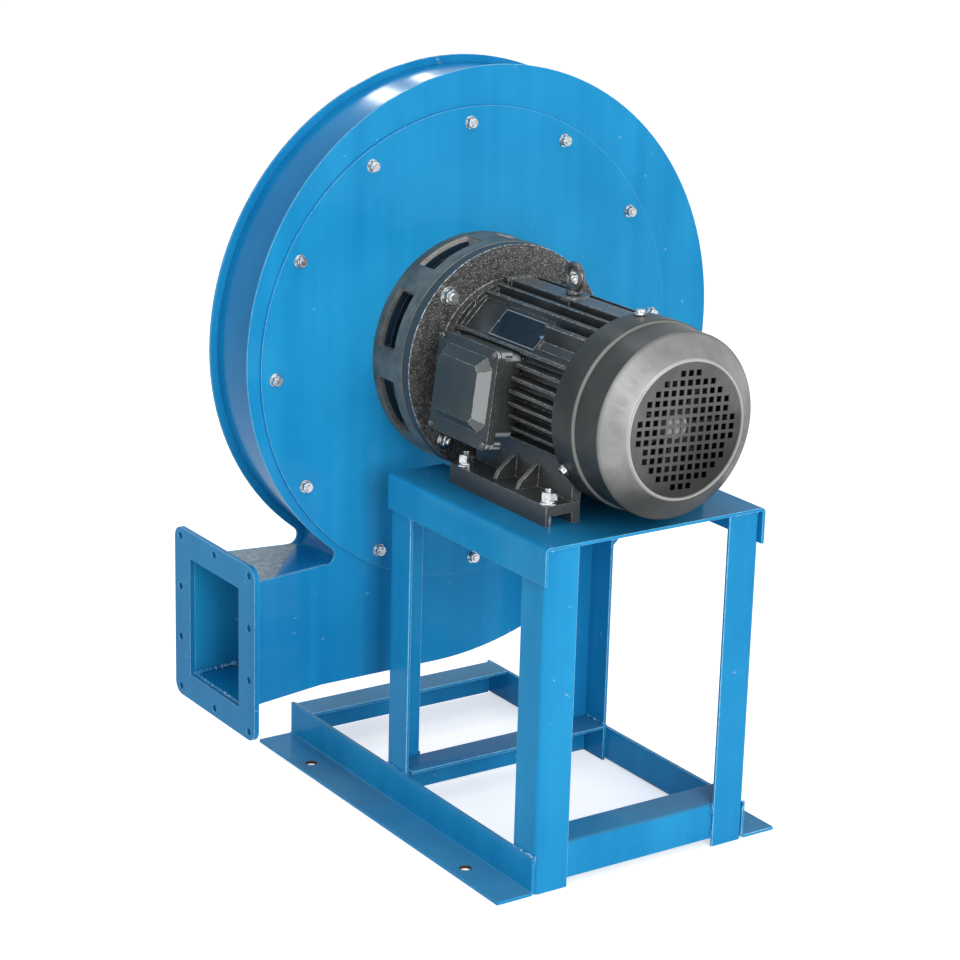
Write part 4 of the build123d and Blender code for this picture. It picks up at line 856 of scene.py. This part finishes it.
# Painted highlight on the cover's side that faces the cowl.
painted_highlight_side = box_paint.facing()[1].within(-0.99, -0.93, -0.95, -0.35)
box_tone = box_paint.mix(box_dust.between(0.35, 0.75), srgb(44, 48, 45), srgb(60, 64, 60))
box_paint.set(
    Base_Color=box_paint.mix(painted_highlight_side * 0.9, box_tone, srgb(160, 164, 166)),
    Roughness=box_dust * 0.12 + 0.34,
    Normal=box_paint.bump(box_grain, 0.0003, 0.5),
)
softened("terminal_box", box_paint, width=0.0010, edge=iron_edge)
softened("terminal_box_cover", box_paint, width=0.0014, crease=25, edge=iron_edge)
softened("terminal_box_gasket", box_paint, width=0.0002)
box_tilt = 7.3
box_face_x = -0.135
box_middle_y = -0.0685
box_middle_z = -0.0153
box_screw_y = 0.057
box_screw_z = 0.0555
box_screw = fastener(
    "box_screw",
    [(0.0042, -0.0001), (0.0045, 0.0008), (0.0043, 0.0024), (0.0034, 0.0036), (0.0010, 0.0041)],
    [(0.0019, -0.0095), (0.0019, 0.001)],
)


def stand_for(name, work, node, finish, crease=round_crease):
    """Make a piece of the fixed parts from a finished form, and let it stand for its node."""
    mesh = bpy.data.meshes.new(name)
    work.to_mesh(mesh)
    work.free()
    mesh.shade_smooth()
    mesh.set_sharp_from_angle(angle=crease)
    mesh.materials.append(finish.material)
    piece = bpy.data.objects.new(name, mesh)
    scene.collection.objects.link(piece)
    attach(piece, stand_body)
    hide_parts(node)


def set_of(name, mesh, node, finish, moves):
    """Copies of a fastener, one at each of the moves."""
    work = bmesh.new()
    for move in moves:
        first = len(work.verts)
        work.from_mesh(mesh)
        work.verts.ensure_lookup_table()
        bmesh.ops.transform(work, matrix=move, verts=work.verts[first:])
    stand_for(name, work, node, finish)


def turned_about(degrees, axis):
    """A turn about one of the three axes."""
    return Matrix.Rotation(math.radians(degrees), 4, axis)


box_screw_paint = Finish("painted_screw")
screw_wear = box_screw_paint.noise(500, 3, 0.6, box_screw_paint.place())
box_screw_paint.set(
    Base_Color=box_screw_paint.mix(screw_wear.between(0.45, 0.6), srgb(46, 48, 48), srgb(140, 140, 136)),
    Metallic=0.4,
    Roughness=0.35,
)
on_shaft = Matrix.Translation((0, 0, shaft_height))
lean = on_shaft @ turned_about(box_tilt, "Y")
screw_moves = []
for along in (-box_screw_y, box_screw_y):
    for up in (-box_screw_z, box_screw_z):
        seat = Matrix.Translation((box_face_x, box_middle_y + along, box_middle_z + up))
        screw_moves.append(lean @ seat @ turned_about(90, "Z"))
set_of("terminal_box_screw_set", box_screw, "terminal_box_screws", box_screw_paint, screw_moves)

# Inside the box, a moulded board carries six brass studs. A plug closes the cable entry below.
# The motor's cooling fan is moulded of the same black plastic.
def dress(finish, *names):
    """Give solids a finish and leave their shape."""
    for name in names:
        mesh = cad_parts[name].data
        mesh.materials.clear()
        mesh.materials.append(finish.material)


plastic = Finish("moulded_plastic")
plastic_grain = plastic.noise(300, 3, 0.5, plastic.place())
plastic.set(
    Base_Color=plastic.mix(plastic_grain.between(0.3, 0.7), srgb(34, 34, 35), srgb(46, 46, 47)),
    Roughness=plastic_grain * 0.15 + 0.42,
    Normal=plastic.bump(plastic_grain, 0.0002, 0.3),
)
dress(plastic, "terminal_board", "cooling_fan")
softened("cable_plug", plastic, width=0.0006)
brass = Finish("brass")
brass_tarnish = brass.noise(240, 3, 0.5, brass.place())
brass.set(
    Base_Color=brass.mix(brass_tarnish.between(0.3, 0.7), srgb(196, 160, 84), srgb(168, 128, 60)),
    Metallic=1.0,
    Roughness=brass_tarnish * 0.2 + 0.22,
)
dress(brass, "terminal_studs")

# Fan cowl: pressed sheet with a step in its skirt, a bevelled end and a bead round the grille; the bead
# and the step carry painted highlights.
# The grille's square holes are punched through the flat end, and the cowl is darker towards the bottom,
# partly soiling and partly painted shade.
cowl_paint = Finish("cowl_paint")
cowl_place = cowl_paint.place()
flake = cowl_paint.noise(1100, 2, 0.5, cowl_place)
smudge = cowl_paint.noise(18, 4, 0.6, cowl_place)
cowl_x, cowl_y, cowl_z = cowl_paint.axes(cowl_place)
cowl_z = cowl_z - shaft_height
cowl_out = distance(cowl_x, cowl_z)
end_part = 1 - cowl_y.between(-0.3190, -0.3130)
# Painted highlights: a pale line on the grille's bead and on the skirt's step.
bead_painted_highlight = cowl_out.within(0.0812, 0.0826, 0.0852, 0.0868) * end_part
step_painted_highlight = cowl_y.within(-0.2730, -0.2718, -0.2698, -0.2686)
# The bevelled end and the grille's face are painted lighter than the skirt, as lit copies of the one
# paint.
skirt_tone = cowl_paint.mix(smudge.between(0.3, 0.7), srgb(46, 51, 50), srgb(62, 66, 65))
end_tone_painted_light = cowl_paint.mix(smudge.between(0.3, 0.7), srgb(120, 121, 120), srgb(142, 143, 141))
face_tone_painted_light = cowl_paint.mix(smudge.between(0.3, 0.7), srgb(82, 83, 84), srgb(100, 101, 101))
end_tone_painted_light = cowl_paint.mix(cowl_out.between(0.0825, 0.0840), face_tone_painted_light, end_tone_painted_light)
cowl_tone = cowl_paint.mix(end_part, skirt_tone, end_tone_painted_light)
# Partly soiling, partly painted shade: darker towards the bottom.
soiled_and_shaded = (1 - (cowl_z - cowl_x * 0.35 + smudge * 0.04).between(-0.05, 0.045)) * 0.9
cowl_tone = cowl_paint.mix(soiled_and_shaded, cowl_tone, srgb(34, 36, 36))
cowl_paint.set(
    Base_Color=cowl_paint.mix((bead_painted_highlight * 0.5).most(step_painted_highlight * 0.25), cowl_tone, srgb(205, 205, 201)),
    Metallic=0.35,
    Roughness=flake * 0.08 + 0.34,
    Specular_IOR_Level=0.2,
    Normal=cowl_paint.bump(flake, 0.0001, 0.3),
)
softened("fan_cowl", cowl_paint, width=0.0004, crease=24)
cowl_screw = fastener(
    "cowl_screw",
    [(0.0080, 0.0008), (0.0080, 0.0022)],
    hexagon(0.010, 0.0020, 0.0068, chamfer=0.001),
    [(0.003, -0.010), (0.003, 0.0025)],
)
cowl_seat = (0, -0.239, 0.1175)
stand_up = Matrix.Translation(cowl_seat) @ turned_about(90, "X")
cowl_moves = [on_shaft @ turned_about(-120 * i, "Y") @ stand_up for i in range(3)]
set_of("cowl_screw_set", cowl_screw, "cowl_screws", zinc, cowl_moves)

# Eyebolt: forged steel gone dull grey, screwed into the boss on the rib.
# The ring swells a little where it joins its collar.
eye_iron = Finish("blackened_steel")
eye_grain = eye_iron.noise(420, 3, 0.6, eye_iron.place())
eye_iron.set(
    Base_Color=eye_iron.mix(eye_grain.between(0.35, 0.65), srgb(62, 62, 63), srgb(112, 111, 110)),
    Metallic=0.6,
    Roughness=0.3,
    Normal=eye_iron.bump(eye_grain, 0.0003, 0.5),
)
eye_y = -0.104
eye_radius = 0.0148
eye_bar = 0.0042
eye_swell = 0.0016
collar_low = shaft_height + 0.114
eye_centre = collar_low + 0.006 + eye_radius + 0.0015
eye_mesh = bmesh.new()
eye_around = 48
eye_section = 14
eye_loops = []
for i in range(eye_around):
    turn = math.tau * i / eye_around
    swell = eye_bar + eye_swell * max(0.0, -math.sin(turn)) ** 6
    loop = []
    for j in range(eye_section):
        roll = math.tau * j / eye_section
        out = eye_radius + swell * math.cos(roll)
        loop.append(eye_mesh.verts.new((
            swell * math.sin(roll), eye_y + out * math.cos(turn), eye_centre + out * math.sin(turn)
        )))
    eye_loops.append(loop)
for i in range(eye_around):
    first, second = eye_loops[i], eye_loops[(i + 1) % eye_around]
    for j in range(eye_section):
        k = (j + 1) % eye_section
        eye_mesh.faces.new((first[j], first[k], second[k], second[j]))
first = len(eye_mesh.verts)
spun(eye_mesh, [
    (0.004, -0.012), (0.004, 0.0), (0.0092, 0.0), (0.0100, 0.0008), (0.0100, 0.0042), (0.0085, 0.0062),
    (0.0045, 0.0068),
])
eye_mesh.verts.ensure_lookup_table()
upright_turn = Matrix.Translation((0, eye_y, collar_low)) @ turned_about(90, "X")
bmesh.ops.transform(eye_mesh, matrix=upright_turn, verts=eye_mesh.verts[first:])
bmesh.ops.recalc_face_normals(eye_mesh, faces=eye_mesh.faces)
stand_for("eyebolt_forging", eye_mesh, "lifting_eyebolt", eye_iron, crease=math.radians(50))

# Nameplate: a thin dark plate riveted to its pad, left bare, with a raised line round its edge.
# It lies on the motor's upper left, at forty-five degrees.
plate_finish = Finish("nameplate_metal")
plate_place = plate_finish.place()
plate_grain = plate_finish.noise(160, 3, 0.6, plate_place)
plate_x, plate_y, plate_z = plate_finish.axes(plate_place)
plate_z = plate_z - shaft_height
plate_middle_up = 0.0045
plate_middle_y = -0.089
half_height = 0.021
half_length = 0.050
up_plate = ((plate_x + plate_z) * math.sqrt(0.5) - plate_middle_up).size()
along_plate = (plate_y - plate_middle_y).size()
inwards = (half_height - up_plate).least(half_length - along_plate)
border = inwards.within(0.0012, 0.0016, 0.0026, 0.0030)
plate_tone = plate_finish.mix(plate_grain.between(0.3, 0.7), srgb(20, 23, 26), srgb(34, 37, 40))
plate_finish.set(
    Base_Color=plate_finish.mix(border * 0.8, plate_tone, srgb(168, 170, 170)),
    Metallic=0.3,
    Roughness=plate_grain * 0.12 + 0.26,
)
softened("nameplate", plate_finish, width=0.0003)
dress(zinc, "nameplate_rivets")

# Flange studs: four zinc plated studs with nuts and washers.
# They go through the motor's flange into the spacer ring.
flange_back = 0.034
large_head = 0.0185
large_chamfer = 0.0016
stud_shank = 0.006
flange_stud = fastener(
    "flange_stud",
    round_plate(0.0120, 0.0, -0.0025, washer_edge),
    round_plate(0.0096, -0.0025, -0.0045, washer_edge),
    hexagon(large_head, -0.0045, -0.0125, large_chamfer),
    threaded(stud_shank, -0.0115, -0.0165, pitch=0.0016),
    [(stud_shank, -0.001), (stud_shank, 0.028)],
)
ring_of(
    "flange_stud_ring", flange_stud, "flange_studs", count=4, circle=0.1325, start=45.0, y=flange_back,
    loose=1.0, seed=8,
)

# Foot bolts: four bolts head down through the plate, with a flat and a spring washer under each nut.
# Each nut has stopped at another turn.
foot_shank = 0.0055
foot_top = 0.472
foot_bolt = fastener(
    "foot_bolt",
    round_plate(0.0120, 0.0, -0.0025, washer_edge),
    round_plate(0.0100, -0.0025, -0.0050, washer_edge),
    hexagon(large_head, -0.0050, -0.0150, large_chamfer),
    threaded(foot_shank, -0.0140, -0.0190, pitch=0.0016),
    [(foot_shank, -0.001), (foot_shank, 0.031)],
    hexagon(large_head, 0.030, 0.038, large_chamfer),
)
foot_bolt_x = 0.108
foot_bolt_rows = (-0.039, -0.217)
foot_moves = []
for side in (-foot_bolt_x, foot_bolt_x):
    for row in foot_bolt_rows:
        loose_nut = Matrix.Rotation(side * 9 + row * 17, 4, "Z")
        foot_moves.append(Matrix.Translation((side, row, foot_top)) @ loose_nut @ turned_about(-90, "X"))
set_of("foot_bolt_set", foot_bolt, "foot_bolts", zinc, foot_moves)

# Inlet: a welded collar with its own ring of holes, bolted over the opening with a spun cone behind it.
# It faces away from the motor, so the camera never sees it.
softened("inlet_collar", enamel, width=plate_edge)
primer = Finish("impeller_primer")
primer_place = primer.place()
primer_cloud = primer.noise(12, 4, 0.6, primer_place)
primer_grain = primer.noise(300, 3, 0.5, primer_place)
primer.set(
    Base_Color=primer.mix(primer_cloud.between(0.3, 0.7), srgb(112, 117, 121), srgb(138, 142, 145)),
    Metallic=0.1,
    Roughness=primer_cloud * 0.15 + 0.4,
    Normal=primer.bump(primer_grain, 0.0002, 0.4),
)
softened("inlet_cone", primer, width=0.0006)
inlet_bolt = fastener(
    "inlet_bolt",
    round_plate(0.0086, 0.0, 0.0016, washer_edge),
    hexagon(small_head, 0.0016, 0.0070, small_chamfer),
    [(small_shank, -0.016), (small_shank, 0.002)],
    hexagon(small_head, -0.0070, -0.0140, small_chamfer),
)
ring_of("inlet_bolt_ring", inlet_bolt, "inlet_bolts", count=8, circle=0.138, start=22.5, y=0.225, seed=12)

# Impeller: a steel disc riveted to its hub, twelve curved blades and a conical shroud, painted grey.
# The hub, the rivets, the end washer and the lock bolt are left bare.
rotor_edge = 0.0005
for part in ("impeller_back_disc", "impeller_shroud", "impeller_blades"):
    softened(part, primer, width=rotor_edge, body="rotor")
machined = Finish("machined_steel")
machined_rings = machined.noise(40, 2, 0.5, machined.place())
machined.set(
    Base_Color=machined.mix(machined_rings.between(0.3, 0.7), srgb(160, 162, 164), srgb(190, 192, 194)),
    Metallic=1.0,
    Roughness=machined_rings * 0.15 + 0.24,
)
for part in ("impeller_hub", "impeller_end_washer", "impeller_lock_bolt", "impeller_rivets"):
    softened(part, machined, width=rotor_edge, body="rotor")
dress(machined, "motor_shaft", "shaft_key")

# Inside the motor: laminated cores, copper windings, ball bearings and a rubber seal.
# The fine lines of the cores are the edges of their sheets.
laminated = Finish("laminated_core")
sheets_per_metre = 9000.0
core_y = laminated.axes(laminated.place())[1]
core_lines = core_y.maths("SINE", core_y * sheets_per_metre)
laminated.set(
    Base_Color=laminated.mix(core_lines.between(-0.4, 0.6), srgb(92, 94, 96), srgb(132, 134, 136)),
    Metallic=0.8,
    Roughness=0.45,
)
dress(laminated, "stator_core", "rotor_core")
copper = Finish("copper_winding")
copper_strands = copper.noise(500, 3, 0.6, copper.place())
copper.set(
    Base_Color=copper.mix(copper_strands.between(0.35, 0.65), srgb(142, 74, 36), srgb(196, 112, 60)),
    Metallic=0.7,
    Roughness=0.35,
    Normal=copper.bump(copper_strands, 0.0006, 0.6),
)
dress(copper, "stator_windings")
ground = Finish("bearing_steel")
ground_marks = ground.noise(200, 3, 0.5, ground.place())
ground.set(Base_Color=srgb(205, 206, 208), Metallic=1.0, Roughness=ground_marks * 0.1 + 0.1)
dress(
    ground, "drive_end_inner_race", "drive_end_outer_race", "rear_inner_race", "rear_outer_race",
    "drive_end_balls", "rear_balls",
)
rubber = Finish("seal_rubber")
rubber_grain = rubber.noise(300, 3, 0.5, rubber.place())
rubber.set(
    Base_Color=rubber.mix(rubber_grain.between(0.3, 0.7), srgb(22, 22, 22), srgb(32, 32, 32)),
    Roughness=0.7,
    Normal=rubber.bump(rubber_grain, 0.0002, 0.4),
)
dress(rubber, "drive_end_seal")
